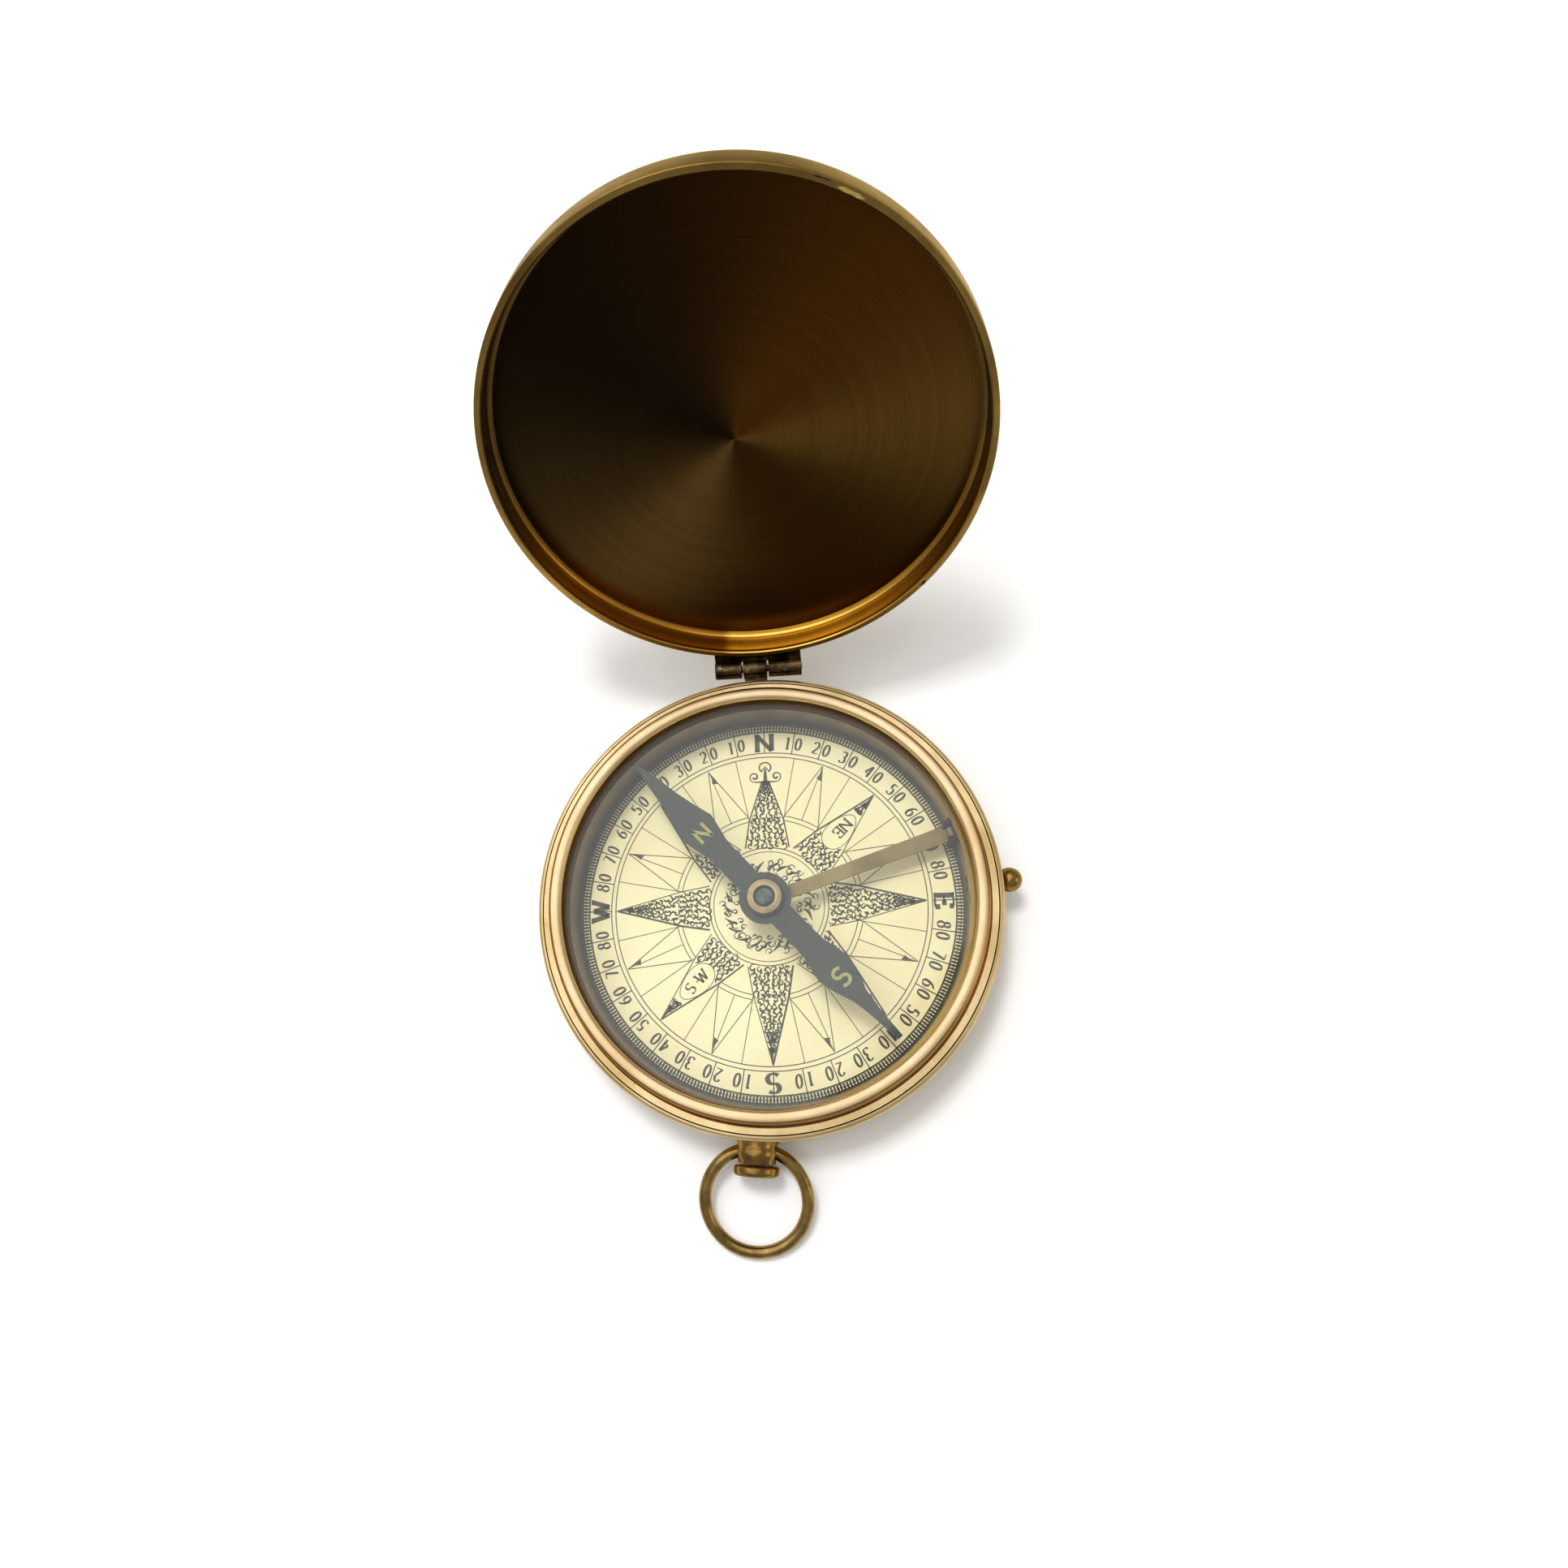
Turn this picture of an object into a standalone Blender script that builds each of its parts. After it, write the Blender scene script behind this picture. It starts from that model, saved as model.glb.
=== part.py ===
"""Lidded brass pocket compass, opened.

Metres, +Z up. The origin is the centre of the flat underside. The hinge lies towards +Y,
and azimuths run clockwise from +Y as on the dial, so the push knob is near +X.
Pieces of the lid, needle, lever, knob and ring are built in place and parented to an
empty on their joint's axis.
"""
import math

import bmesh
import bpy
from mathutils import Matrix, Vector

MM = 0.001
GAP = 0.3 * MM

# ---- driving dimensions --------------------------------------------------------------
CASE_RADIUS = 35.0 * MM          # flange, the widest part of the bowl
WALL_RADIUS = 33.2 * MM          # outside of the bowl wall
BORE_RADIUS = 31.8 * MM          # inside of the bowl wall
CARD_TOP = 3.0 * MM              # height of the printed face
FLANGE_TOP = CARD_TOP + 7.9 * MM
BEZEL_INNER = 30.75 * MM
BEZEL_OUTER = 32.6 * MM
BEZEL_CREST = CARD_TOP + 10.75 * MM

LID_RADIUS = 34.5 * MM
LID_HEIGHT = 5.5 * MM
LID_DEPTH = 4.3 * MM             # rim to floor, inside
LID_OPEN_ANGLE = 117.0           # degrees from closed
LID_RIM = FLANGE_TOP + GAP

HINGE_Y = 36.75 * MM
HINGE_Z = FLANGE_TOP
BARREL_RADIUS = 1.4 * MM
KNUCKLE_EDGES = (-6.8 * MM, -2.5 * MM, 1.5 * MM, 6.8 * MM)   # along X
HINGE_PIN_RADIUS = 0.5 * MM
HINGE_INSET = 0.05 * MM          # tab and strap are this much narrower than their knuckles

NEEDLE_AZIMUTH = 317.9
NEEDLE_Z = CARD_TOP + 6.7 * MM
NEEDLE_THICKNESS = 0.4 * MM
POST_RADIUS = 0.55 * MM
PLATE_BOTTOM = 1.7 * MM          # underside of the plate that carries the card
CARD_THICKNESS = 0.3 * MM

LEVER_AZIMUTH = 71.0
LEVER_PIN_RADIUS = 30.0 * MM     # distance of the lever's pin from the centre
LEVER_PIN_Z = CARD_TOP + 3.6 * MM
LEVER_TIP_Z = CARD_TOP + 4.9 * MM
LEVER_PIN_THICKNESS = 0.3 * MM   # radius of the pin
LEVER_BORE = 0.6 * MM            # radius of the hole round the pin
BRACKET_INNER = 29.2 * MM

KNOB_AZIMUTH = 86.6
KNOB_Z = CARD_TOP + 3.1 * MM
KNOB_CENTRE = 36.5 * MM
KNOB_RADIUS = 1.84 * MM

PENDANT_AZIMUTH = 184.0
PENDANT_Z = 4.5 * MM
PENDANT_EYE = 36.75 * MM         # distance of the cross hole from the centre
RING_RADIUS = 7.57 * MM          # to the middle of the wire
RING_WIRE = 0.9 * MM
RING_TILT = 13.6                 # degrees that the resting ring slopes down
RING_CENTRE = 43.75 * MM

CUT_REACH = 5.0 * MM             # half length of a cutter that passes right through
SMOOTH_ANGLE = 35.0

BRASS = (0.62, 0.45, 0.19)
DARK_BRASS = (0.24, 0.15, 0.05)


# ---- helpers -------------------------------------------------------------------------
def clear_scene():
    for thing in list(bpy.data.objects):
        bpy.data.objects.remove(thing, do_unlink=True)


def material(name, colour, roughness, metallic, alpha=1.0):
    made = bpy.data.materials.get(name)
    if made is None:
        made = bpy.data.materials.new(name)
        made.use_nodes = True
        shader = made.node_tree.nodes["Principled BSDF"]
        shader.inputs["Base Color"].default_value = (*colour, 1.0)
        shader.inputs["Roughness"].default_value = roughness
        shader.inputs["Metallic"].default_value = metallic
        shader.inputs["Alpha"].default_value = alpha
    return made


def direction(azimuth):
    angle = math.radians(azimuth)
    return Vector((math.sin(angle), math.cos(angle), 0.0))


def radial_frame(azimuth, distance=0.0, height=0.0):
    """Local +X points outward along the azimuth and +Z up."""
    turn = Matrix.Rotation(math.radians(90.0 - azimuth), 4, "Z")
    return Matrix.Translation(direction(azimuth) * distance + Vector((0, 0, height))) @ turn


def outward_frame(azimuth, distance, height):
    """Local +Z points outward along the azimuth, for turned pieces that lie flat."""
    return radial_frame(azimuth, distance, height) @ Matrix.Rotation(math.radians(90.0), 4, "Y")


def object_from(name, bm, finish, frame=Matrix.Identity(4), smooth=True):
    bmesh.ops.recalc_face_normals(bm, faces=bm.faces)
    bmesh.ops.transform(bm, matrix=frame, verts=bm.verts)
    mesh = bpy.data.meshes.new(name)
    bm.to_mesh(mesh)
    bm.free()
    if smooth:
        mesh.shade_smooth()
        mesh.set_sharp_from_angle(angle=math.radians(SMOOTH_ANGLE))
    if finish is not None:
        mesh.materials.append(finish)
    made = bpy.data.objects.new(name, mesh)
    bpy.context.scene.collection.objects.link(made)
    return made


def arc(centre, radius, start, end, steps):
    """Points of a round stretch in the profile plane; angles in degrees."""
    points = []
    for i in range(steps + 1):
        angle = math.radians(start + (end - start) * i / steps)
        x = centre[0] + radius * math.cos(angle)
        y = centre[1] + radius * math.sin(angle)
        points.append((x, y))
    return points


def turned_mesh(profile, segments):
    """A solid of revolution about Z from a closed loop of (radius, height) points."""
    bm = bmesh.new()
    loops = []
    for radius, height in profile:
        if radius < 1e-7:
            loops.append([bm.verts.new((0.0, 0.0, height))])
            continue
        loops.append([
            bm.verts.new((radius * math.cos(2 * math.pi * i / segments),
                          radius * math.sin(2 * math.pi * i / segments), height))
            for i in range(segments)])
    for first, second in zip(loops, loops[1:] + loops[:1]):
        if len(first) == 1 and len(second) == 1:
            continue
        for i in range(segments):
            j = (i + 1) % segments
            corners = [first[i % len(first)], first[j % len(first)],
                       second[j % len(second)], second[i % len(second)]]
            unique = list(dict.fromkeys(corners))
            bm.faces.new(unique)
    return bm


def turned(name, profile, finish, segments=64, frame=Matrix.Identity(4)):
    return object_from(name, turned_mesh(profile, segments), finish, frame)


def washer_profile(inner, outer, bottom, top):
    """A flat ring or, with inner 0, a disc."""
    return [(inner, bottom), (outer, bottom), (outer, top), (inner, top)]


def prism_mesh(outline, bottom, top):
    bm = bmesh.new()
    base = [bm.verts.new((x, y, bottom)) for x, y in outline]
    face = bm.faces.new(base)
    moved = bmesh.ops.extrude_face_region(bm, geom=[face])["geom"]
    raised = [v for v in moved if isinstance(v, bmesh.types.BMVert)]
    bmesh.ops.translate(bm, verts=raised, vec=(0.0, 0.0, top - bottom))
    return bm


def modify(target, kind, other):
    step = target.modifiers.new(kind.lower(), "BOOLEAN")
    step.operation = kind
    step.object = other
    other.hide_render = True
    other.display_type = "WIRE"


def pivot(name, location):
    empty = bpy.data.objects.new(name, None)
    empty.location = location
    bpy.context.scene.collection.objects.link(empty)
    bpy.context.view_layer.update()
    return empty


def hang_on(empty, pieces):
    """Parents pieces to an empty and keeps them where they were built."""
    for piece in pieces:
        piece.parent = empty
        piece.matrix_parent_inverse = empty.matrix_world.inverted()


# ---- bowl ----------------------------------------------------------------------------
def make_bowl_shell(brass):
    """Spun bowl: flat underside with a turned groove, wall, and a rolled flange with a bead."""
    floor = 1.4 * MM
    corner = 3.0 * MM
    foot = WALL_RADIUS - corner
    groove = 24.4 * MM
    groove_width = 2.4 * MM
    groove_depth = 0.3 * MM
    seat = FLANGE_TOP - 1.5 * MM
    bead = 0.65 * MM
    bead_inner = 34.15 * MM
    fillet = 0.4 * MM
    profile = [
        (0, 0),
        (groove - groove_width, 0),
        (groove - groove_width + groove_depth, groove_depth),
        (groove - groove_depth, groove_depth),
        (groove, 0),
    ]
    profile += arc((foot, corner), corner, -90, 0, 4)
    profile += [
        (WALL_RADIUS, FLANGE_TOP - 1.8 * MM),
        (WALL_RADIUS + fillet, FLANGE_TOP - 1.8 * MM + fillet),
    ]
    profile += arc((CASE_RADIUS - bead, FLANGE_TOP - 0.7 * MM), bead, -90, 80, 4)
    profile += [
        (bead_inner + 0.08 * MM, FLANGE_TOP - 0.07 * MM),
        (bead_inner, FLANGE_TOP - 0.16 * MM),
        (bead_inner - 0.1 * MM, FLANGE_TOP - 0.01 * MM),
        (BEZEL_OUTER + 0.55 * MM, FLANGE_TOP),
        (BEZEL_OUTER + GAP, FLANGE_TOP - 0.25 * MM),
        (BEZEL_OUTER + GAP, seat),
        (BORE_RADIUS, seat),
        (BORE_RADIUS, floor + fillet),
        (BORE_RADIUS - fillet, floor),
        (0, floor),
    ]
    shell = turned("bowl_shell", profile, brass)
    stem_hole = washer_profile(0, 1.25 * MM, -CUT_REACH, CUT_REACH)
    hole = turned("cut_stem_hole", stem_hole, None, 24, outward_frame(KNOB_AZIMUTH, BORE_RADIUS, KNOB_Z))
    modify(shell, "DIFFERENCE", hole)
    return shell


def make_bezel(brass):
    nose = 0.95 * MM
    middle = (BEZEL_INNER + nose, BEZEL_CREST - nose)
    lip = BEZEL_CREST - 1.35 * MM
    pocket = 31.6 * MM
    bottom = FLANGE_TOP - 1.2 * MM
    profile = [(BEZEL_OUTER, bottom), (BEZEL_OUTER, middle[1] - 0.3 * MM)]
    profile += arc(middle, nose, 0, 180, 7)
    profile += [(BEZEL_INNER + 0.15 * MM, lip), (pocket, lip), (pocket, lip - 1.5 * MM),
                (BORE_RADIUS, lip - 1.7 * MM), (BORE_RADIUS, bottom)]
    return turned("bezel_ring", profile, brass)


def make_glass(glass):
    """A flat-edged pane whose middle is domed slightly upward."""
    radius = 31.3 * MM
    rise = 1.2 * MM
    thickness = 1.0 * MM
    edge = CARD_TOP + 8.1 * MM
    steps = 5
    under = [(radius * i / steps, edge + rise * (1 - (i / steps) ** 2)) for i in range(steps + 1)]
    over = [(r, z + thickness) for r, z in reversed(under)]
    return turned("glass", under + over, glass, 48)


def make_card_parts(paper, brass):
    radius = 31.4 * MM
    hole = 0.95 * MM
    underside = CARD_TOP - CARD_THICKNESS
    turned("card", washer_profile(hole, radius, underside, CARD_TOP), paper)
    turned("card_plate", washer_profile(hole, radius, PLATE_BOTTOM, underside - GAP), brass)
    ring = washer_profile(30.95 * MM, 31.5 * MM, CARD_TOP + 6.9 * MM, CARD_TOP + 7.8 * MM)
    turned("retaining_ring", ring, brass)


def make_distance_ring(brass):
    """Lines the wall between card and glass, cut away round the lever's bracket and the knob's stem."""
    inner = 30.25 * MM
    outer = 31.5 * MM
    well_inside = 28.0 * MM
    well_outside = 33.0 * MM
    bracket_way = 2.0 * MM
    stem_way = 1.25 * MM
    profile = washer_profile(inner, outer, CARD_TOP + GAP, CARD_TOP + 6.6 * MM)
    ring = turned("distance_ring", profile, brass, 96)
    outline = [
        (well_inside, -bracket_way),
        (well_outside, -bracket_way),
        (well_outside, bracket_way),
        (well_inside, bracket_way),
    ]
    block = prism_mesh(outline, 0, LEVER_PIN_Z + bracket_way)
    notch = object_from("cut_bracket_way", block, None, radial_frame(LEVER_AZIMUTH), smooth=False)
    rod = washer_profile(0, stem_way, well_inside, well_outside)
    hole = turned("cut_stem_way", rod, None, 24, outward_frame(KNOB_AZIMUTH, 0, KNOB_Z))
    modify(ring, "DIFFERENCE", notch)
    modify(ring, "DIFFERENCE", hole)


def make_pivot(brass):
    """The fixed post that ends in the needle's point, and the nut at its foot."""
    tip = NEEDLE_Z + 0.5 * MM
    shaft = [
        (0, PLATE_BOTTOM),
        (POST_RADIUS, PLATE_BOTTOM),
        (POST_RADIUS, tip - 1.4 * MM),
        (0.35 * MM, tip - 1.0 * MM),
        (0.1 * MM, tip),
        (0, tip),
    ]
    bore = POST_RADIUS + GAP
    foot = CARD_TOP + GAP
    rim = 2.3 * MM
    nut_top = foot + 0.8 * MM
    nut = [(bore, foot), (rim, foot), (rim, foot + 0.5 * MM), (1.5 * MM, nut_top), (bore, nut_top)]
    turned("pivot_post", shaft, brass, 20)
    turned("pivot_nut", nut, brass, 28)


def make_knob_bush(brass):
    start = WALL_RADIUS + GAP
    profile = washer_profile(1.95 * MM, 2.5 * MM, 0, 34.3 * MM - start)
    turned("knob_bush", profile, brass, 32, outward_frame(KNOB_AZIMUTH, start, KNOB_Z))


def make_pendant(brass):
    """Waisted stem with a cross hole, and a round collar on its end."""
    start = WALL_RADIUS + GAP
    frame = outward_frame(PENDANT_AZIMUTH, 0, PENDANT_Z)
    stem_end = 38.3 * MM
    collar_end = 40.1 * MM
    stem = [
        (0, start),
        (3.15 * MM, start),
        (3.1 * MM, 35.3 * MM),
        (3.0 * MM, 35.8 * MM),
        (3.08 * MM, 36.2 * MM),
        (3.2 * MM, 36.8 * MM),
        (3.14 * MM, 37.4 * MM),
        (2.9 * MM, 38.0 * MM),
        (2.8 * MM, stem_end),
        (0, stem_end),
    ]
    collar = [(0, stem_end + GAP)]
    collar += arc((2.95 * MM, stem_end + GAP + 0.4 * MM), 0.4 * MM, -90, 0, 3)
    collar += arc((2.75 * MM, collar_end - 0.6 * MM), 0.6 * MM, 0, 90, 4)
    collar += [(0, collar_end)]
    stem_piece = turned("pendant_stem", stem, brass, 32, frame)
    across = Matrix.Rotation(math.radians(90.0), 4, "X")
    eye_radius = 1.6 * MM
    eye = turned("cut_ring_eye", washer_profile(0, eye_radius, -CUT_REACH, CUT_REACH), None, 24,
                 radial_frame(PENDANT_AZIMUTH, PENDANT_EYE, PENDANT_Z) @ across)
    modify(stem_piece, "DIFFERENCE", eye)
    turned("pendant_collar", collar, brass, 32, frame)


def make_lever_bracket(dark):
    """A block on the wall, slotted for the lever, with its cross pin's ends in the cheeks."""
    outer = 31.45 * MM
    back = 31.1 * MM
    half = 1.7 * MM
    slot = 1.05 * MM
    outline = [
        (BRACKET_INNER, -half),
        (outer, -half),
        (outer, half),
        (BRACKET_INNER, half),
        (BRACKET_INNER, slot),
        (back, slot),
        (back, -slot),
        (BRACKET_INNER, -slot),
    ]
    bm = prism_mesh(outline, CARD_TOP + GAP, LEVER_PIN_Z + 1.7 * MM)
    bracket = object_from("lever_bracket", bm, dark, radial_frame(LEVER_AZIMUTH), smooth=False)
    across = Matrix.Rotation(math.radians(90.0), 4, "X")
    at_pin = radial_frame(LEVER_AZIMUTH, LEVER_PIN_RADIUS, LEVER_PIN_Z) @ across
    hole = turned("cut_lever_pin", washer_profile(0, LEVER_BORE, -CUT_REACH, CUT_REACH), None, 16, at_pin)
    modify(bracket, "DIFFERENCE", hole)
    turned("lever_pin", washer_profile(0, LEVER_PIN_THICKNESS, -half, half), dark, 12, at_pin)


# ---- hinge ---------------------------------------------------------------------------
def barrel(name, left, right, radius, finish=None, segments=28):
    """A round bar along X on the hinge's axis: a knuckle before boring, a cutter or the pin."""
    frame = Matrix.Translation((0, HINGE_Y, HINGE_Z)) @ Matrix.Rotation(math.radians(90.0), 4, "Y")
    return turned(name, washer_profile(0, radius, left, right), finish, segments, frame)


def knuckle_spans():
    """Ends along X of the left, middle and right knuckle."""
    start, first_split, second_split, end = KNUCKLE_EDGES
    half = 0.5 * GAP
    return (start, first_split - half), (first_split + half, second_split - half), (second_split + half, end)


def make_bowl_leaf(dark):
    """Middle knuckle and the tab that joins it to the flange."""
    left, right = knuckle_spans()[1]
    leaf = barrel("bowl_hinge_leaf", left, right, BARREL_RADIUS, dark)
    top = FLANGE_TOP - 0.2 * MM
    thickness = 1.1 * MM
    inner = CASE_RADIUS + GAP
    start = left + HINGE_INSET
    end = right - HINGE_INSET
    outline = [(start, inner), (end, inner), (end, HINGE_Y), (start, HINGE_Y)]
    tab = object_from("join_bowl_tab", prism_mesh(outline, top - thickness, top), None)
    modify(leaf, "UNION", tab)
    modify(leaf, "DIFFERENCE", barrel("cut_bowl_leaf_bore", left - GAP, right + GAP, HINGE_PIN_RADIUS + GAP))


def make_lid_leaf(dark):
    """Two outer knuckles and the curved strap that joins them to the lid's wall (lid closed)."""
    first, _, last = knuckle_spans()
    low = LID_RIM + 0.15 * MM
    high = LID_RIM + 2.3 * MM
    inner = LID_RADIUS + GAP
    outer = HINGE_Y - 0.2 * MM
    half_angle = math.degrees(math.asin((last[1] - HINGE_INSET) / inner))
    outline = arc((0, 0), inner, 90 + half_angle, 90 - half_angle, 12)
    outline += [(last[1] - HINGE_INSET, outer), (first[0] + HINGE_INSET, outer)]
    leaf = object_from("lid_hinge_leaf", prism_mesh(outline, low, high), dark)
    notch = barrel("cut_leaf_notch", first[1], last[0], BARREL_RADIUS + GAP)
    modify(leaf, "DIFFERENCE", notch)
    helpers = [notch]
    for side_name, span in (("left", first), ("right", last)):
        knuckle = barrel(f"join_{side_name}_knuckle", *span, BARREL_RADIUS)
        modify(leaf, "UNION", knuckle)
        helpers.append(knuckle)
    bore = barrel("cut_lid_leaf_bore", first[0] - GAP, last[1] + GAP, HINGE_PIN_RADIUS + GAP, None, 20)
    modify(leaf, "DIFFERENCE", bore)
    return leaf, helpers + [bore]


def make_hinge_pin(dark):
    overhang = 0.1 * MM
    return barrel("hinge_pin", KNUCKLE_EDGES[0] - overhang, KNUCKLE_EDGES[-1] + overhang,
                  HINGE_PIN_RADIUS, dark, 16)


# ---- lid -----------------------------------------------------------------------------
def make_lid_shell(brass):
    """A spun cup, rim down when closed, with a flat floor inside."""
    corner = 1.7 * MM
    inner = LID_RADIUS - 0.9 * MM
    fillet = 0.8 * MM
    top = LID_RIM + LID_HEIGHT
    floor = LID_RIM + LID_DEPTH
    ease = 0.2 * MM
    crown = 0.4 * MM
    profile = [(inner, LID_RIM), (LID_RADIUS - ease, LID_RIM), (LID_RADIUS, LID_RIM + ease)]
    profile += arc((LID_RADIUS - corner, top - corner), corner, 0, 90, 5)
    profile += [(20.0 * MM, top + 0.6 * crown), (0, top + crown), (0, floor)]
    profile += arc((inner - fillet, floor - fillet), fillet, 90, 0, 4)
    return turned("lid_shell", profile, brass)


def make_lid():
    brass = material("lid brass", BRASS, 0.32, 1.0)
    dark = material("hinge brass", DARK_BRASS, 0.35, 1.0)
    leaf, helpers = make_lid_leaf(dark)
    axis = pivot("lid_axis", (0, HINGE_Y, HINGE_Z))
    hang_on(axis, [make_lid_shell(brass), leaf, make_hinge_pin(dark), *helpers])
    axis.rotation_euler = (math.radians(-LID_OPEN_ANGLE), 0, 0)


# ---- needle --------------------------------------------------------------------------
def needle_outline():
    """Pointed north half and blunt south half, with lozenge shoulders and a round middle."""
    disc = 3.95
    neck = 1.93
    north = [(29.8, 0.12), (25.5, 1.0), (22.0, 1.45), (18.4, 2.2), (15.3, 3.0), (12.8, 2.5),
             (10.8, 2.0), (9.0, neck)]
    south = [(-9.0, neck), (-10.5, 2.0), (-12.2, 2.4), (-14.4, 2.85), (-17.0, 2.3), (-20.0, 1.25),
             (-22.4, 0.85), (-25.5, 0.6), (-28.1, 0.45)]
    root = math.degrees(math.asin(neck / disc))
    right = north + arc((0, 0), disc, root, 180 - root, 10) + south
    left = [(x, -y) for x, y in reversed(right)]
    return [(x * MM, y * MM) for x, y in right + left]


def make_needle_blade(steel):
    frame = radial_frame(NEEDLE_AZIMUTH)
    bm = prism_mesh(needle_outline(), NEEDLE_Z, NEEDLE_Z + NEEDLE_THICKNESS)
    blade = object_from("needle_blade", bm, steel, frame)
    hole = turned("cut_blade_hole", washer_profile(0, 1.4 * MM, 0, 20 * MM), None, 24)
    modify(blade, "DIFFERENCE", hole)
    return [blade, hole]


def make_needle():
    """Blade, the boss that sits on the post's point, and the cap ring round a jewel."""
    steel = material("blued steel", (0.05, 0.06, 0.065), 0.4, 0.6)
    brass = material("cap brass", (0.72, 0.5, 0.33), 0.35, 1.0)
    jewel = material("jewel", (0.03, 0.09, 0.09), 0.1, 0.0)
    top = NEEDLE_Z + NEEDLE_THICKNESS
    stem_bottom = NEEDLE_Z - 0.4 * MM
    stem_radius = 1.1 * MM
    cup_radius = 0.75 * MM
    boss_radius = 2.9 * MM
    boss_top = top + 0.9 * MM
    boss = [
        (cup_radius, stem_bottom),
        (stem_radius, stem_bottom),
        (stem_radius, top + GAP),
        (boss_radius, top + GAP),
        (boss_radius, boss_top - 0.15 * MM),
        (boss_radius - 0.15 * MM, boss_top),
        (0, boss_top),
        (0, top + 0.5 * MM),
        (cup_radius, top + 0.2 * MM),
    ]
    cap_inner = 1.5 * MM
    cap_outer = 2.6 * MM
    cap_bottom = boss_top + GAP
    cap_top = cap_bottom + 0.6 * MM
    cap = [
        (cap_inner, cap_bottom),
        (cap_outer, cap_bottom),
        (cap_outer, cap_top - 0.25 * MM),
        (2.4 * MM, cap_top - 0.05 * MM),
        (2.1 * MM, cap_top),
        (1.75 * MM, cap_top - 0.05 * MM),
        (cap_inner, cap_top - 0.3 * MM),
    ]
    stone_radius = cap_inner - GAP
    stone = [
        (0, cap_bottom),
        (stone_radius, cap_bottom),
        (stone_radius, cap_bottom + 0.25 * MM),
        (0.7 * MM, cap_bottom + 0.36 * MM),
        (0, cap_bottom + 0.4 * MM),
    ]
    pieces = make_needle_blade(steel)
    pieces.append(turned("needle_boss", boss, steel, 32))
    pieces.append(turned("cap_ring", cap, brass, 40))
    pieces.append(turned("cap_jewel", stone, jewel, 28))
    hang_on(pivot("needle_axis", (0, 0, NEEDLE_Z)), pieces)


# ---- arrest: knob, lever, lift collar ------------------------------------------------
def make_lift_collar():
    """The loose washer that the lever pushes up under the needle."""
    brass = material("collar brass", BRASS, 0.35, 1.0)
    top = NEEDLE_Z - 0.7 * MM
    thickness = 0.5 * MM
    outline = washer_profile(POST_RADIUS + GAP, 2.2 * MM, top - thickness, top)
    collar = turned("lift_collar", outline, brass, 28)
    hang_on(pivot("lift_axis", (0, 0, NEEDLE_Z)), [collar])


def lever_outline():
    """From the tongue in the bracket's slot to the eye round the post, seen from above."""
    half_tip = 1.0 * MM
    half_root = 1.25 * MM
    tongue = 0.7 * MM
    tongue_end = 30.3 * MM
    eye_outer = 2.0 * MM
    eye_start = 3.0 * MM
    shoulder = BRACKET_INNER - GAP
    root = math.degrees(math.asin(half_tip / eye_outer))
    near = [(tongue_end, -tongue), (tongue_end, tongue), (shoulder, tongue)]
    near += [(shoulder, half_root), (eye_start, half_tip)]
    far = [(eye_start, -half_tip), (shoulder, -half_root), (shoulder, -tongue)]
    return near + arc((0, 0), eye_outer, root, 360 - root, 16) + far


def make_lever():
    """A flat strip that slopes up from its pin to its eye."""
    brass = material("lever brass", (0.42, 0.30, 0.15), 0.4, 1.0)
    half = 0.25 * MM
    slope = math.asin((LEVER_TIP_Z - LEVER_PIN_Z) / LEVER_PIN_RADIUS)
    at_pin = radial_frame(LEVER_AZIMUTH, LEVER_PIN_RADIUS, LEVER_PIN_Z) @ Matrix.Rotation(slope, 4, "Y")
    across = at_pin @ Matrix.Rotation(math.radians(90.0), 4, "X")
    at_eye = at_pin @ Matrix.Translation((-LEVER_PIN_RADIUS, 0, 0))
    lever = object_from("arrest_lever", prism_mesh(lever_outline(), -half, half), brass, at_eye, smooth=False)
    eye_shape = washer_profile(0, 0.95 * MM, -CUT_REACH, CUT_REACH)
    hub_shape = washer_profile(0, 0.8 * MM, -0.65 * MM, 0.65 * MM)
    bore_shape = washer_profile(0, LEVER_BORE, -CUT_REACH, CUT_REACH)
    eye = turned("cut_lever_eye", eye_shape, None, 20, at_eye)
    hub = turned("join_lever_hub", hub_shape, None, 20, across)
    bore = turned("cut_lever_bore", bore_shape, None, 16, across)
    modify(lever, "DIFFERENCE", eye)
    modify(lever, "UNION", hub)
    modify(lever, "DIFFERENCE", bore)
    axis = pivot("lever_axis", direction(LEVER_AZIMUTH) * LEVER_PIN_RADIUS + Vector((0, 0, LEVER_PIN_Z)))
    hang_on(axis, [lever, eye, hub, bore])


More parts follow.
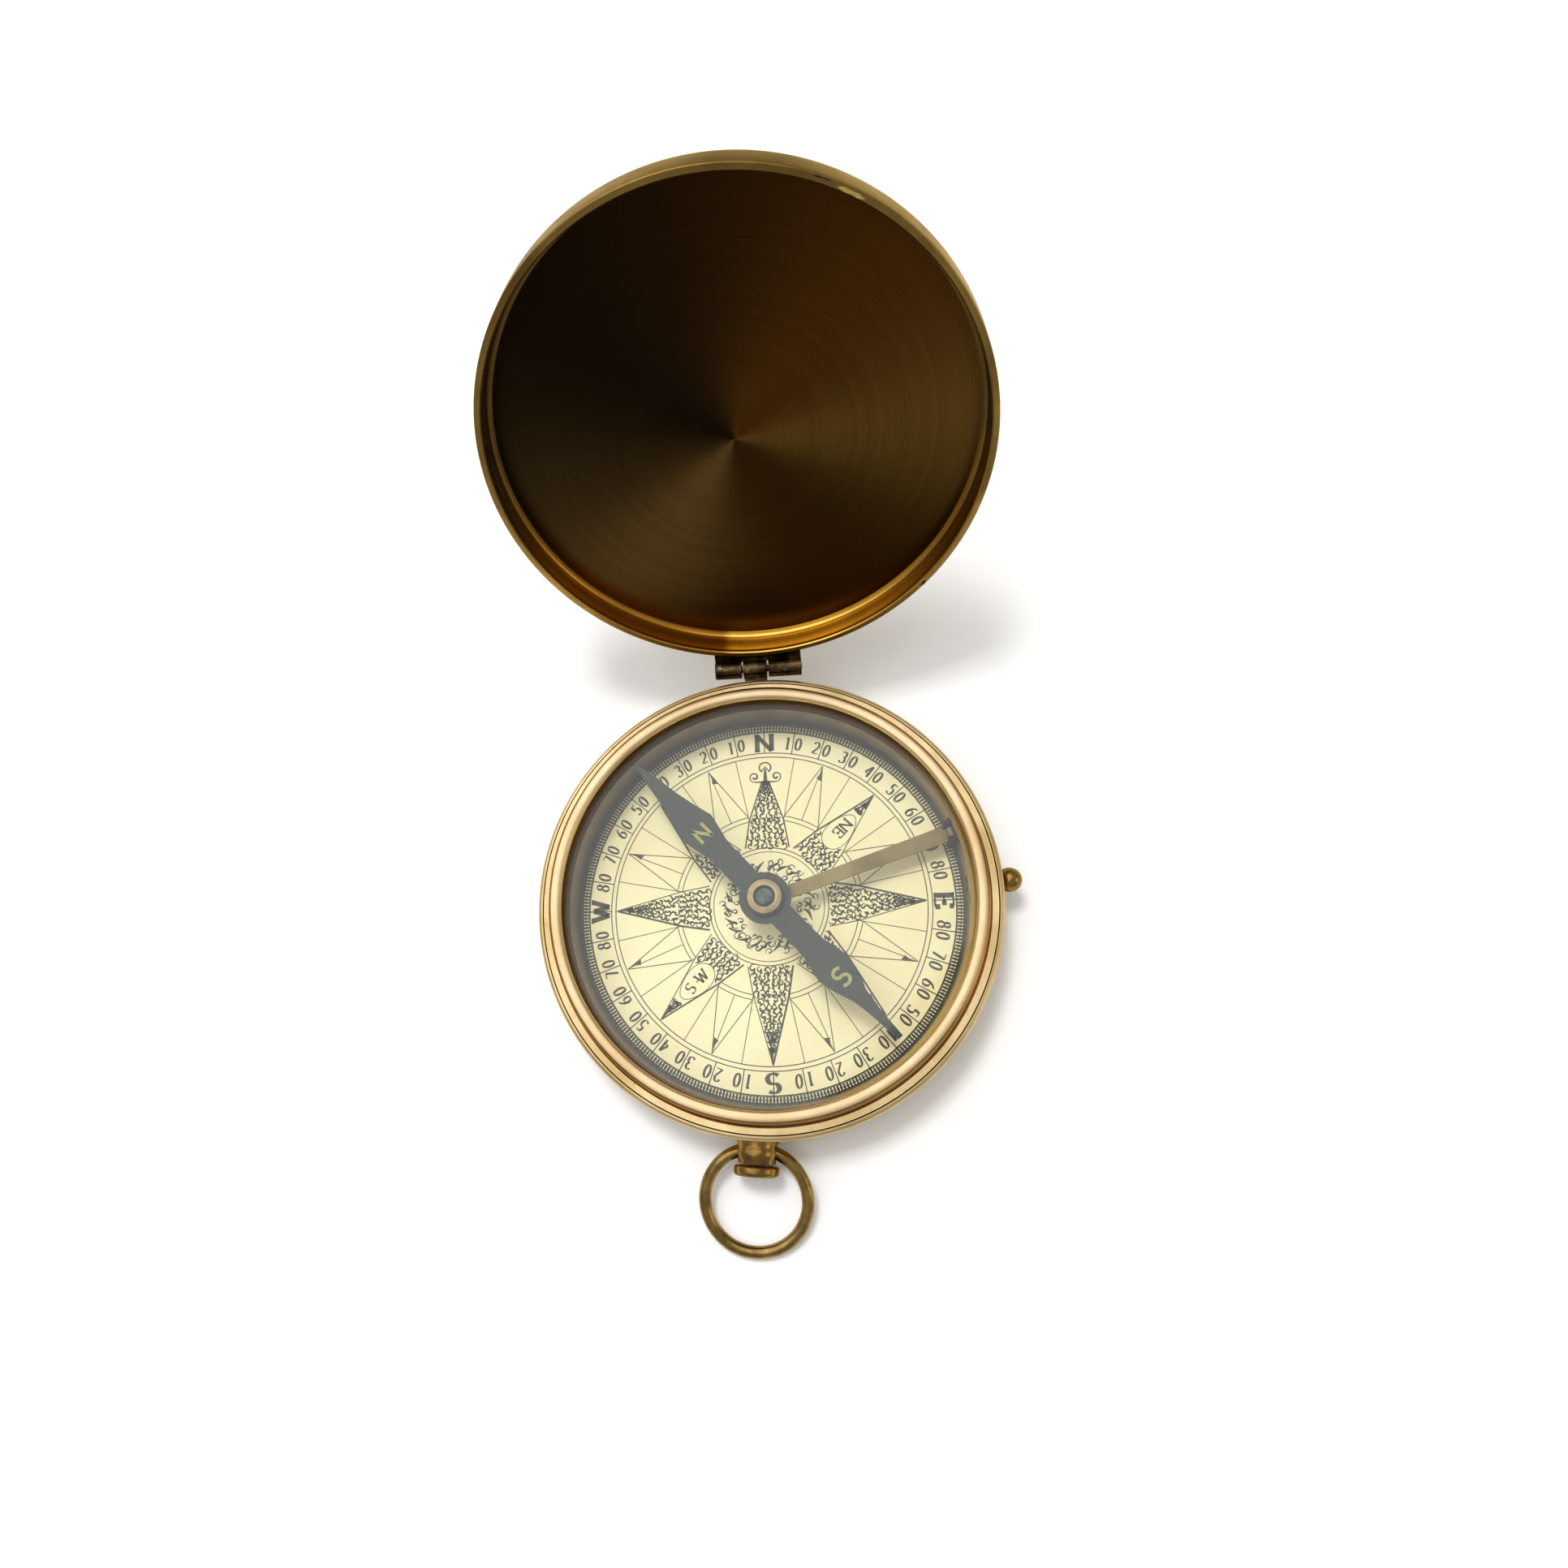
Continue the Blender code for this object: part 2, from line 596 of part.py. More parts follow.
def make_knob():
    """Round head with a flat back, and its stem through the bowl's wall."""
    brass = material("knob brass", (0.5, 0.33, 0.13), 0.3, 1.0)
    frame = outward_frame(KNOB_AZIMUTH, 0, KNOB_Z)
    neck = 1.5 * MM
    back = 34.3 * MM
    front = KNOB_CENTRE + KNOB_RADIUS
    start = math.degrees(math.asin(neck / KNOB_RADIUS))
    ball = [(0, back), (neck, back)]
    ball += arc((0, KNOB_CENTRE), KNOB_RADIUS, start - 90, 90, 7)[:-1]
    ball += [(0, front)]
    stem_tip = 31.6 * MM
    stem_end = back - GAP
    stem_radius = 0.9 * MM
    stem = [
        (0, stem_tip),
        (0.35 * MM, stem_tip),
        (stem_radius, stem_tip + 0.7 * MM),
        (stem_radius, stem_end),
        (0, stem_end),
    ]
    pieces = [turned("knob_ball", ball, brass, 24, frame), turned("knob_stem", stem, brass, 20, frame)]
    hang_on(pivot("knob_axis", direction(KNOB_AZIMUTH) * KNOB_CENTRE + Vector((0, 0, KNOB_Z))), pieces)


# ---- ring ----------------------------------------------------------------------------
def make_ring():
    """The loose bow ring, lying with its far side on the surface."""
    brass = material("ring brass", (0.45, 0.32, 0.1), 0.35, 1.0)
    drop = math.radians(RING_TILT)
    bm = turned_mesh(arc((RING_RADIUS, 0), RING_WIRE, 0, 324, 9), 44)
    reach = RING_CENTRE - PENDANT_EYE
    frame = (radial_frame(PENDANT_AZIMUTH, PENDANT_EYE, PENDANT_Z)
             @ Matrix.Rotation(drop, 4, "Y") @ Matrix.Translation((reach, 0, 0)))
    ring = object_from("pendant_ring", bm, brass, frame)
    eye = direction(PENDANT_AZIMUTH) * PENDANT_EYE + Vector((0, 0, PENDANT_Z))
    hang_on(pivot("ring_axis", eye), [ring])


def main():
    clear_scene()
    brass = material("case brass", BRASS, 0.3, 1.0)
    dark = material("hinge brass", DARK_BRASS, 0.35, 1.0)
    make_bowl_shell(brass)
    make_bezel(brass)
    make_glass(material("glass", (0.85, 0.9, 0.88), 0.03, 0.0, 0.25))
    make_card_parts(material("paper", (0.88, 0.8, 0.52), 0.8, 0.0), brass)
    make_distance_ring(brass)
    make_pivot(brass)
    make_knob_bush(brass)
    make_pendant(material("ring brass", (0.45, 0.32, 0.1), 0.35, 1.0))
    make_lever_bracket(dark)
    make_bowl_leaf(dark)
    make_lid()
    make_needle()
    make_lift_collar()
    make_lever()
    make_knob()
    make_ring()


main()
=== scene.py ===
"""Looks of a lidded brass pocket compass: turned and brushed brass, a printed dial and a clear glass."""
import math
import random

import bmesh
import bpy
from mathutils import Matrix, Quaternion, Vector


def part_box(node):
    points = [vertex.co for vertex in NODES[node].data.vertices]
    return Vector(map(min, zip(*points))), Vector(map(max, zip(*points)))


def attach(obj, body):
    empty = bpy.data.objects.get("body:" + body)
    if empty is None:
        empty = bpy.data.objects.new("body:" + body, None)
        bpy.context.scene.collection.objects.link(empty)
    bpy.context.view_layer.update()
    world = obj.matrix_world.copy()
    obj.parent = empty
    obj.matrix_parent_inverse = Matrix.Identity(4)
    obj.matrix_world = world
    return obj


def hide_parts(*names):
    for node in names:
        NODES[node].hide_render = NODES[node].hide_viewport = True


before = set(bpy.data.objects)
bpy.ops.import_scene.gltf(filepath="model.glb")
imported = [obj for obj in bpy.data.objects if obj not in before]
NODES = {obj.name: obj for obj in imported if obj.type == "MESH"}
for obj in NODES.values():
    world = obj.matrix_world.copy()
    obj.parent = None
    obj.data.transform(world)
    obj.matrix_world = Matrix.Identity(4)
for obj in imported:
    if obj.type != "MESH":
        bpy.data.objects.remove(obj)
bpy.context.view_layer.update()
MM = 0.001

# ---- sizes shared with the CAD model, in millimetres and degrees ---------------------
GAP = 0.3
CARD_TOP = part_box("card")[1].z / MM
FLANGE_TOP = CARD_TOP + 7.9
CASE_RADIUS = 35.0
WALL_RADIUS = 33.2
BORE_RADIUS = 31.8
BEZEL_INNER = 30.75
BEZEL_OUTER = 32.6
BEZEL_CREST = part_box("bezel_ring")[1].z / MM
LID_RADIUS = 34.5
LID_RIM = FLANGE_TOP + GAP
LID_TOP = LID_RIM + 5.5
LID_FLOOR = LID_RIM + 4.3
LID_ANGLE = 117.0
HINGE = Vector((0, 36.75, FLANGE_TOP)) * MM
NEEDLE_AZIMUTH = 317.9
NEEDLE_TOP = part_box("needle_blade")[1].z / MM
KNOB_AZIMUTH = 86.6
KNOB_Z = CARD_TOP + 3.1
PENDANT_AZIMUTH = 184.0
PENDANT_Z = 4.5
PENDANT_EYE = 36.75

# ---- mesh helpers --------------------------------------------------------------------
# How far print stands over its ground, in millimetres; the least angle of a sharp edge, in
# degrees; the radius under which a turned profile's point is on the axis, in metres.
INK_RISE = 0.02
SHARP_EDGE = 32.0
ON_AXIS = 1e-7


def direction(azimuth):
    """A level unit vector; an azimuth is in degrees, clockwise from +Y."""
    angle = math.radians(azimuth)
    return Vector((math.sin(angle), math.cos(angle), 0.0))


def polar(azimuth, radius):
    place = direction(azimuth) * radius
    return (place.x, place.y)


def radial_frame(azimuth, distance=0.0, height=0.0):
    """Local +X outward along the azimuth; distance and height in millimetres."""
    place = direction(azimuth) * distance + Vector((0, 0, height))
    return Matrix.Translation(place * MM) @ Matrix.Rotation(math.radians(90.0 - azimuth), 4, "Z")


def outward_frame(azimuth, height):
    """Local +Z outward along the azimuth, for a piece turned about that line."""
    return radial_frame(azimuth, 0, height) @ Matrix.Rotation(math.radians(90.0), 4, "Y")


def arc(centre, radius, start, end, steps, slot=None):
    """Points from start to end, in degrees from the first axis, with a finish index if slot is given."""
    points = []
    for i in range(steps + 1):
        angle = math.radians(start + (end - start) * i / steps)
        point = (centre[0] + radius * math.cos(angle), centre[1] + radius * math.sin(angle))
        points.append(point if slot is None else (*point, slot))
    return points


def add_mesh(name, bm, finishes, placed):
    """Makes bm an object of the scene, with the finishes in its material slots."""
    mesh = bpy.data.meshes.new(name)
    bm.to_mesh(mesh)
    bm.free()
    for finish in finishes:
        mesh.materials.append(finish)
    made = bpy.data.objects.new(name, mesh)
    bpy.context.scene.collection.objects.link(made)
    made.matrix_world = placed
    return made


def add_smooth(name, bm, finishes, placed=Matrix.Identity(4)):
    """An object with consistent normals, shaded smooth but for its sharp edges."""
    bmesh.ops.recalc_face_normals(bm, faces=bm.faces)
    made = add_mesh(name, bm, finishes, placed)
    made.data.shade_smooth()
    made.data.set_sharp_from_angle(angle=math.radians(SHARP_EDGE))
    return made


def lathe(name, profile, *finishes, segments=240, placed=Matrix.Identity(4)):
    """A turned solid from a closed loop of (radius, height[, finish of the band that follows])."""
    bm = bmesh.new()
    loops = []
    for point in profile:
        radius, height = point[0] * MM, point[1] * MM
        if radius < ON_AXIS:
            loops.append([bm.verts.new((0.0, 0.0, height))])
            continue
        ring = arc((0, 0), radius, 0, 360, segments)[:-1]
        loops.append([bm.verts.new((x, y, height)) for x, y in ring])
    for k, point in enumerate(profile):
        first, second = loops[k], loops[(k + 1) % len(loops)]
        if len(first) == 1 and len(second) == 1:
            continue
        for i in range(segments):
            j = (i + 1) % segments
            corners = [first[i % len(first)], first[j % len(first)],
                       second[j % len(second)], second[i % len(second)]]
            face = bm.faces.new(list(dict.fromkeys(corners)))
            face.material_index = point[2] if len(point) > 2 else 0
    return add_smooth(name, bm, finishes, placed)


def bore(target, radius, placed, reach=5.0, segments=48):
    """Cuts a round hole along placed's local Z."""
    cutter = lathe("cutter", [(0, -reach), (radius, -reach), (radius, reach), (0, reach)],
                   segments=segments, placed=placed)
    step = target.modifiers.new("bore", "BOOLEAN")
    step.operation = "DIFFERENCE"
    step.object = cutter
    bpy.context.view_layer.update()
    shape = target.evaluated_get(bpy.context.evaluated_depsgraph_get())
    cut = bpy.data.meshes.new_from_object(shape)
    target.modifiers.clear()
    target.data = cut
    bpy.data.objects.remove(cutter)


class Flat:
    """Print or paint: flat strokes and shapes on one plane, in millimetres."""

    def __init__(self):
        self.bm = bmesh.new()

    def shape(self, points):
        self.bm.faces.new([self.bm.verts.new((x * MM, y * MM, 0)) for x, y in points])

    def stroke(self, points, width, nib=None, closed=False):
        """A ribbon; with nib, an angle in degrees, its width follows a broad pen held at it."""
        count = len(points)
        pairs = []
        for i, (x, y) in enumerate(points):
            before = points[(i - 1) % count] if closed or i else points[0]
            after = points[(i + 1) % count] if closed or i < count - 1 else points[-1]
            dx, dy = after[0] - before[0], after[1] - before[1]
            size = math.hypot(dx, dy) or 1.0
            broad = width[i] if isinstance(width, list) else width
            if nib is not None:
                broad *= 0.28 + 0.72 * abs(math.sin(math.atan2(dy, dx) - math.radians(nib)))
            nx, ny = -dy / size * broad / 2, dx / size * broad / 2
            pairs.append((self.bm.verts.new(((x + nx) * MM, (y + ny) * MM, 0)),
                          self.bm.verts.new(((x - nx) * MM, (y - ny) * MM, 0))))
        for i in range(count if closed else count - 1):
            a, b = pairs[i], pairs[(i + 1) % count]
            self.bm.faces.new((a[0], a[1], b[1], b[0]))

    def circle(self, radius, width, steps=240):
        self.stroke(arc((0, 0), radius, 0, 360, steps)[:-1], width, closed=True)

    def done(self, name, finish, placed):
        """Makes the print an object, with every face turned up."""
        self.bm.normal_update()
        down = [face for face in self.bm.faces if face.normal.z < 0]
        bmesh.ops.reverse_faces(self.bm, faces=down)
        return add_mesh(name, self.bm, [finish], placed)


# ---- materials -----------------------------------------------------------------------
class Look:
    """A Principled material with a few short calls for its texture nodes."""

    # A Mix node has sockets for each kind of value; these are the ones for colours.
    MIX_A, MIX_B, MIX_RESULT = 6, 7, 2

    def __init__(self, name, metallic=1.0, roughness=0.35, **sockets):
        self.material = bpy.data.materials.new(name)
        self.material.use_nodes = True
        self.tree = self.material.node_tree
        self.shader = self.tree.nodes["Principled BSDF"]
        self.shader.inputs["Metallic"].default_value = metallic
        self.shader.inputs["Roughness"].default_value = roughness
        for key, value in sockets.items():
            self.shader.inputs[key.replace("_", " ")].default_value = value
        self.coords = self.node("ShaderNodeTexCoord").outputs["Object"]

    def node(self, kind, **settings):
        made = self.tree.nodes.new(kind)
        for key, value in settings.items():
            setattr(made, key, value)
        return made

    def feed(self, socket, value):
        if isinstance(value, bpy.types.NodeSocket):
            self.tree.links.new(value, socket)
        else:
            socket.default_value = value

    def math(self, operation, a, b=0.0, c=0.0, clamp=False):
        made = self.node("ShaderNodeMath", operation=operation, use_clamp=clamp)
        for socket, value in zip(made.inputs, (a, b, c)):
            self.feed(socket, value)
        return made.outputs[0]

    def noise(self, scale, detail=4.0, rough=0.55, w=None, distortion=0.0):
        """Noise in space or, with w, along that one value."""
        made = self.node("ShaderNodeTexNoise", noise_dimensions="3D" if w is None else "1D")
        made.inputs["Scale"].default_value = scale
        made.inputs["Detail"].default_value = detail
        made.inputs["Roughness"].default_value = rough
        made.inputs["Distortion"].default_value = distortion
        if w is None:
            self.tree.links.new(self.coords, made.inputs["Vector"])
        else:
            self.tree.links.new(w, made.inputs["W"])
        return made.outputs["Fac"]

    def spread(self, value, low, high):
        """Stretches a value so that low becomes 0 and high becomes 1."""
        made = self.node("ShaderNodeMapRange")
        self.feed(made.inputs["Value"], value)
        made.inputs["From Min"].default_value = low
        made.inputs["From Max"].default_value = high
        return made.outputs["Result"]

    def mix(self, factor, a, b):
        """Colour a where the factor is 0 and colour b where it is 1."""
        made = self.node("ShaderNodeMix", data_type="RGBA")
        self.feed(made.inputs["Factor"], factor)
        for index, colour in ((self.MIX_A, a), (self.MIX_B, b)):
            self.feed(made.inputs[index], (*colour, 1.0) if isinstance(colour, tuple) else colour)
        return made.outputs[self.MIX_RESULT]

    def parts(self):
        """The piece's own X, Y and Z, in metres."""
        split = self.node("ShaderNodeSeparateXYZ")
        self.tree.links.new(self.coords, split.inputs[0])
        return split.outputs

    def radius(self):
        x, y, _ = self.parts()
        return self.math("SQRT", self.math("ADD", self.math("MULTIPLY", x, x), self.math("MULTIPLY", y, y)))

    def colour(self, value):
        self.tree.links.new(value, self.shader.inputs["Base Color"])

    def rough(self, value):
        self.tree.links.new(value, self.shader.inputs["Roughness"])

    def bump(self, height, strength, distance):
        made = self.node("ShaderNodeBump")
        made.inputs["Strength"].default_value = strength
        made.inputs["Distance"].default_value = distance
        self.tree.links.new(height, made.inputs["Height"])
        self.tree.links.new(made.outputs[0], self.shader.inputs["Normal"])

    def brush_in_circles(self):
        """Lays the anisotropic highlight across circles about local Z."""
        tangent = self.node("ShaderNodeTangent", direction_type="RADIAL", axis="Z")
        self.tree.links.new(tangent.outputs[0], self.shader.inputs["Tangent"])


# Brass stays yellow where it is met at a low angle.
GRAZING_TINT = (0.86, 0.74, 0.52, 1.0)


def turned_brass(name, light, dark, roughness=0.3, grooves=2600.0, patina=70.0, wear=0.5, anisotropic=0.0):
    """Brass off a lathe: fine rings about local Z, cloudy patina and tarnish specks."""
    look = Look(name, 1.0, roughness, Anisotropic=anisotropic, Specular_Tint=GRAZING_TINT)
    ring = look.math("ADD", look.radius(), look.parts()[2])
    lines = look.noise(grooves, 3.0, 0.7, w=ring)
    clouds = look.noise(patina, 6.0, 0.62, distortion=0.3)
    specks = look.spread(look.noise(1500.0, 3.0, 0.6), 0.62, 0.74)
    blend = look.math("ADD", look.spread(clouds, 0.36, 0.66), look.math("MULTIPLY", lines, 0.5 * wear))
    base = look.mix(look.math("SUBTRACT", blend, 0.25 * wear, clamp=True), light, dark)
    base = look.mix(look.math("MULTIPLY", specks, 0.45 * wear), base, tuple(0.35 * c for c in dark))
    look.colour(base)
    look.rough(look.math("MULTIPLY_ADD", look.math("ADD", clouds, lines), 0.22, roughness - 0.2))
    look.bump(lines, 0.12, 0.00003)
    if anisotropic:
        look.brush_in_circles()
    return look.material


# A painted wedge's fall-off has the power (WEDGE_SPREAD / width) ** 2, so a narrow one falls off fast.
WEDGE_SPREAD = 72.0


def lid_floor_finish():
    """Brass brushed in circles, painted dark for the dark reflection in it, with painted highlights and
    painted shades in wedges round its centre.
    """
    look = Look("lid_floor_brushed_painted_light", 1.0, 0.36, Anisotropic=0.85)
    x, y, _ = look.parts()
    lines = look.noise(5200.0, 3.0, 0.75, w=look.radius())
    coarse = look.noise(420.0, 2.0, 0.6, w=look.radius())
    angle = look.math("ARCTAN2", x, y)
    # Painted reflection: the dark base stands for the dark surroundings mirrored in the brass, and the wedges
    # below are painted highlights and painted shades.
    base = look.mix(look.math("MULTIPLY", lines, 0.75), (0.030, 0.0125, 0.0022), (0.056, 0.027, 0.006))
    wedges = (  # azimuth, width in degrees, colour, share
        (88.0, 17.0, (0.165, 0.090, 0.018), 0.85),
        (322.0, 19.0, (0.215, 0.120, 0.034), 0.85),
        (142.0, 26.0, (0.120, 0.042, 0.005), 0.6),
        (274.0, 11.0, (0.080, 0.052, 0.016), 0.45),
        (232.0, 36.0, (0.006, 0.004, 0.002), 0.85),
        (16.0, 26.0, (0.050, 0.019, 0.003), 0.7),
    )
    for centre, width, colour, share in wedges:
        away = look.math("COSINE", look.math("SUBTRACT", angle, math.radians(centre)))
        near = look.math("MULTIPLY_ADD", away, 0.5, 0.5, clamp=True)
        lobe = look.math("POWER", near, (WEDGE_SPREAD / width) ** 2)
        base = look.mix(look.math("MULTIPLY", lobe, share), base, colour)
    base = look.mix(look.math("MULTIPLY", look.spread(coarse, 0.4, 0.65), 0.12), base, (0.012, 0.006, 0.001))
    brushed = look.spread(look.noise(3600.0, 4.0, 0.75, w=look.radius()), 0.35, 0.65)
    base = look.mix(look.math("MULTIPLY", brushed, 0.22), base, (0.010, 0.005, 0.001))
    stain = look.spread(look.noise(160.0, 5.0, 0.6, distortion=0.6), 0.6, 0.8)
    base = look.mix(look.math("MULTIPLY", stain, 0.1), base, (0.06, 0.03, 0.008))
    look.colour(base)
    look.rough(look.math("MULTIPLY_ADD", lines, 0.2, 0.27))
    look.bump(lines, 0.1, 0.00002)
    look.brush_in_circles()
    return look.material


def lid_wall_finish():
    """The lid's inner wall: orange lacquer with painted light, bright by the hinge and dull elsewhere as
    painted shade.
    """
    look = Look("lid_wall_brass_painted_light", 1.0, 0.3)
    x, y, z = look.parts()
    lines = look.noise(3000.0, 3.0, 0.7, w=look.math("ADD", look.radius(), z))
    # Painted light and shade: the half by the hinge is painted bright, the far half dark.
    base = look.mix(look.spread(y, 0.0, 0.03), (0.085, 0.05, 0.012), (0.55, 0.26, 0.03))
    angle = look.math("ARCTAN2", x, y)
    # A painted highlight: a band round the hinge side is painted brighter still.
    lit = look.math("SUBTRACT", look.spread(angle, -0.16, -0.12), look.spread(angle, 0.35, 1.0), clamp=True)
    base = look.mix(lit, base, (1.0, 0.60, 0.10))
    clouds = look.spread(look.noise(240.0, 5.0, 0.6), 0.4, 0.7)
    base = look.mix(look.math("MULTIPLY", clouds, 0.2), base, (0.16, 0.08, 0.015))
    look.colour(base)
    look.rough(look.math("MULTIPLY_ADD", lines, 0.2, 0.18))
    look.bump(lines, 0.1, 0.00002)
    return look.material


def inner_wall_finish():
    """Turned brass inside the bowl with painted light: golden towards the east as the lit side, brown and
    dull elsewhere as painted shade.
    """
    look = Look("inner_wall_brass_painted_light", 1.0, 0.34)
    x, y, z = look.parts()
    lines = look.noise(2400.0, 3.0, 0.7, w=look.math("ADD", look.radius(), z))
    # Painted light: the east side is painted golden as if lit, the rest brown as painted shade.
    east = look.spread(look.math("MULTIPLY_ADD", y, -0.35, x), 0.012, 0.030)
    base = look.mix(east, (0.20, 0.12, 0.06), (0.52, 0.35, 0.10))
    base = look.mix(look.math("MULTIPLY", look.spread(lines, 0.35, 0.65), 0.5), base, (0.09, 0.06, 0.03))
    look.colour(base)
    look.rough(look.math("MULTIPLY_ADD", lines, 0.2, 0.26))
    look.bump(lines, 0.15, 0.00002)
    return look.material


def dark_bronze():
    """Nearly black bronze, rubbed bright in small spots."""
    look = Look("hinge_bronze", 1.0, 0.28)
    clouds = look.noise(420.0, 6.0, 0.65)
    base = look.mix(look.spread(clouds, 0.40, 0.66), (0.030, 0.018, 0.009), (0.14, 0.09, 0.035))
    rubbed = look.spread(look.noise(700.0, 3.0, 0.6), 0.60, 0.72)
    look.colour(look.mix(look.math("MULTIPLY", rubbed, 0.5), base, (0.55, 0.45, 0.28)))
    look.rough(look.math("MULTIPLY_ADD", clouds, 0.3, 0.14))
    look.bump(clouds, 0.15, 0.00005)
    return look.material


def paper():
    """Varnished card, a little browned and foxed, with a faint fibre."""
    look = Look("dial_card", 0.0, 0.62, Specular_IOR_Level=0.25)
    blotch = look.noise(70.0, 5.0, 0.55)
    base = look.mix(look.spread(blotch, 0.35, 0.7), (0.97, 0.87, 0.54), (0.93, 0.80, 0.46))
    fibre = look.spread(look.noise(2600.0, 4.0, 0.7), 0.5, 0.85)
    base = look.mix(look.math("MULTIPLY", fibre, 0.2), base, (0.70, 0.58, 0.34))
    foxing = look.spread(look.noise(520.0, 2.0, 0.5), 0.74, 0.8)
    base = look.mix(look.math("MULTIPLY", foxing, 0.35), base, (0.60, 0.44, 0.22))
    edge = look.spread(look.radius(), 0.026, 0.0314)
    base = look.mix(look.math("MULTIPLY", edge, 0.22), base, (0.72, 0.58, 0.30))
    look.colour(base)
    look.bump(look.noise(1800.0, 4.0, 0.6), 0.06, 0.00002)
    return look.material


def ink(name, dark, pale, roughness=0.7):
    """Printing ink or paint, thinner in places."""
    look = Look(name, 0.0, roughness, Specular_IOR_Level=0.3)
    thin = look.spread(look.noise(1400.0, 4.0, 0.65), 0.4, 0.72)
    look.colour(look.mix(thin, dark, pale))
    return look.material


def blued_steel():
    """Dull grey-green steel with a faint cloud."""
    look = Look("needle_steel", 0.2, 0.55, Specular_IOR_Level=0.35)
    cloud = look.noise(180.0, 5.0, 0.6)
    base = look.mix(look.spread(cloud, 0.35, 0.7), (0.042, 0.045, 0.040), (0.058, 0.061, 0.054))
    look.colour(base)
    look.rough(look.math("MULTIPLY_ADD", cloud, 0.2, 0.4))
    return look.material


def stone():
    """A polished dark teal jewel with a cloudy heart."""
    look = Look("cap_jewel_stone", 0.0, 0.12, Coat_Weight=0.3, Coat_Roughness=0.04)
    cloud = look.spread(look.noise(1300.0, 4.0, 0.6, distortion=0.8), 0.38, 0.66)
    look.colour(look.mix(cloud, (0.003, 0.010, 0.010), (0.03, 0.09, 0.072)))
    return look.material


def clear_glass():
    """Faintly smeared glass that light passes straight, and that mirrors more the flatter it is met."""
    mirrored_head_on, mirrored_at_edge, steepness = 0.034, 0.6, 5.0
    material = bpy.data.materials.new("pane_glass")
    material.use_nodes = True
    tree = material.node_tree
    tree.nodes.clear()

    def node(kind, **sockets):
        made = tree.nodes.new(kind)
        for key, value in sockets.items():
            made.inputs[key].default_value = value
        return made

    out = node("ShaderNodeOutputMaterial")
    mix = node("ShaderNodeMixShader")
    clear = node("ShaderNodeBsdfTransparent", Color=(0.975, 0.985, 0.975, 1.0))
    gloss = node("ShaderNodeBsdfGlossy", Color=(0.88, 0.90, 0.88, 1.0), Roughness=0.06)
    facing = node("ShaderNodeLayerWeight", Blend=0.5)
    steep = node("ShaderNodeMath")
    steep.operation = "POWER"
    steep.inputs[1].default_value = steepness
    mirrored = node("ShaderNodeMath")
    mirrored.operation = "MULTIPLY_ADD"
    mirrored.inputs[1].default_value = mirrored_at_edge
    mirrored.inputs[2].default_value = mirrored_head_on
    coords = node("ShaderNodeTexCoord")
    smear = node("ShaderNodeTexNoise", Scale=60.0, Detail=5.0)
    bump = node("ShaderNodeBump", Strength=0.02, Distance=0.0005)
    for a, b in (
        (coords.outputs["Object"], smear.inputs["Vector"]),
        (smear.outputs["Fac"], bump.inputs["Height"]),
        (bump.outputs[0], gloss.inputs["Normal"]),
        (facing.outputs["Facing"], steep.inputs[0]),
        (steep.outputs[0], mirrored.inputs[0]),
        (mirrored.outputs[0], mix.inputs[0]),
        (clear.outputs[0], mix.inputs[1]),
        (gloss.outputs[0], mix.inputs[2]),
        (mix.outputs[0], out.inputs[0]),
    ):
        tree.links.new(a, b)
    return material


GOLD = (0.74, 0.52, 0.17)
GOLD_DARK = (0.40, 0.245, 0.07)
case_brass = turned_brass("case_brass", GOLD, GOLD_DARK, 0.32, anisotropic=0.3)
flange_brass = turned_brass("flange_brass", (0.76, 0.58, 0.32), (0.56, 0.40, 0.17), 0.36, wear=0.8)
# Painted shade: dark brass for the groove inside the bead and the gap round the bezel.
groove_brass_painted_shade = turned_brass("groove_brass_painted_shade", (0.22, 0.14, 0.05), (0.12, 0.07, 0.02), 0.4)
# The bezel's brass in two copies: a lighter one for its crown, partly a painted highlight, and a darker one
# for its outer side, painted shade.
bezel_brass = turned_brass("bezel_brass", (0.84, 0.65, 0.39), (0.70, 0.50, 0.27), 0.4, wear=0.3)
bezel_side_painted_shade = turned_brass("bezel_side_painted_shade", (0.46, 0.26, 0.09), (0.28, 0.14, 0.04), 0.3, wear=0.6)
inner_brass = inner_wall_finish()
lid_outer = turned_brass("lid_outer_brass", (0.64, 0.49, 0.24), (0.38, 0.27, 0.11), 0.36, anisotropic=0.4)
lid_rim_brass = turned_brass("lid_rim_brass", (0.36, 0.23, 0.06), (0.18, 0.10, 0.025), 0.3)
lid_floor = lid_floor_finish()
lid_wall = lid_wall_finish()
bronze = dark_bronze()
# Painted shade: the bracket is near black to stand for the shadowed patch where the lever meets the wall.
bracket_painted_shade = turned_brass("bracket_painted_shade", (0.050, 0.035, 0.020), (0.025, 0.017, 0.010), 0.5)
pendant_brass = turned_brass("pendant_brass", (0.34, 0.20, 0.055), (0.13, 0.075, 0.02), 0.24,
                             grooves=3200.0, patina=260.0)
ring_brass = turned_brass("ring_brass", (0.38, 0.25, 0.08), (0.14, 0.085, 0.025), 0.22,
                          grooves=900.0, patina=300.0)
lever_brass = turned_brass("lever_brass", (0.34, 0.25, 0.115), (0.25, 0.175, 0.075), 0.5,
                           grooves=1500.0, patina=120.0, wear=0.4)
cap_brass = turned_brass("cap_brass", (0.55, 0.41, 0.23), (0.42, 0.30, 0.16), 0.48,
                         grooves=4200.0, patina=400.0, wear=0.4)
card_paper = paper()
dial_ink = ink("dial_ink", (0.050, 0.042, 0.028), (0.13, 0.11, 0.07))
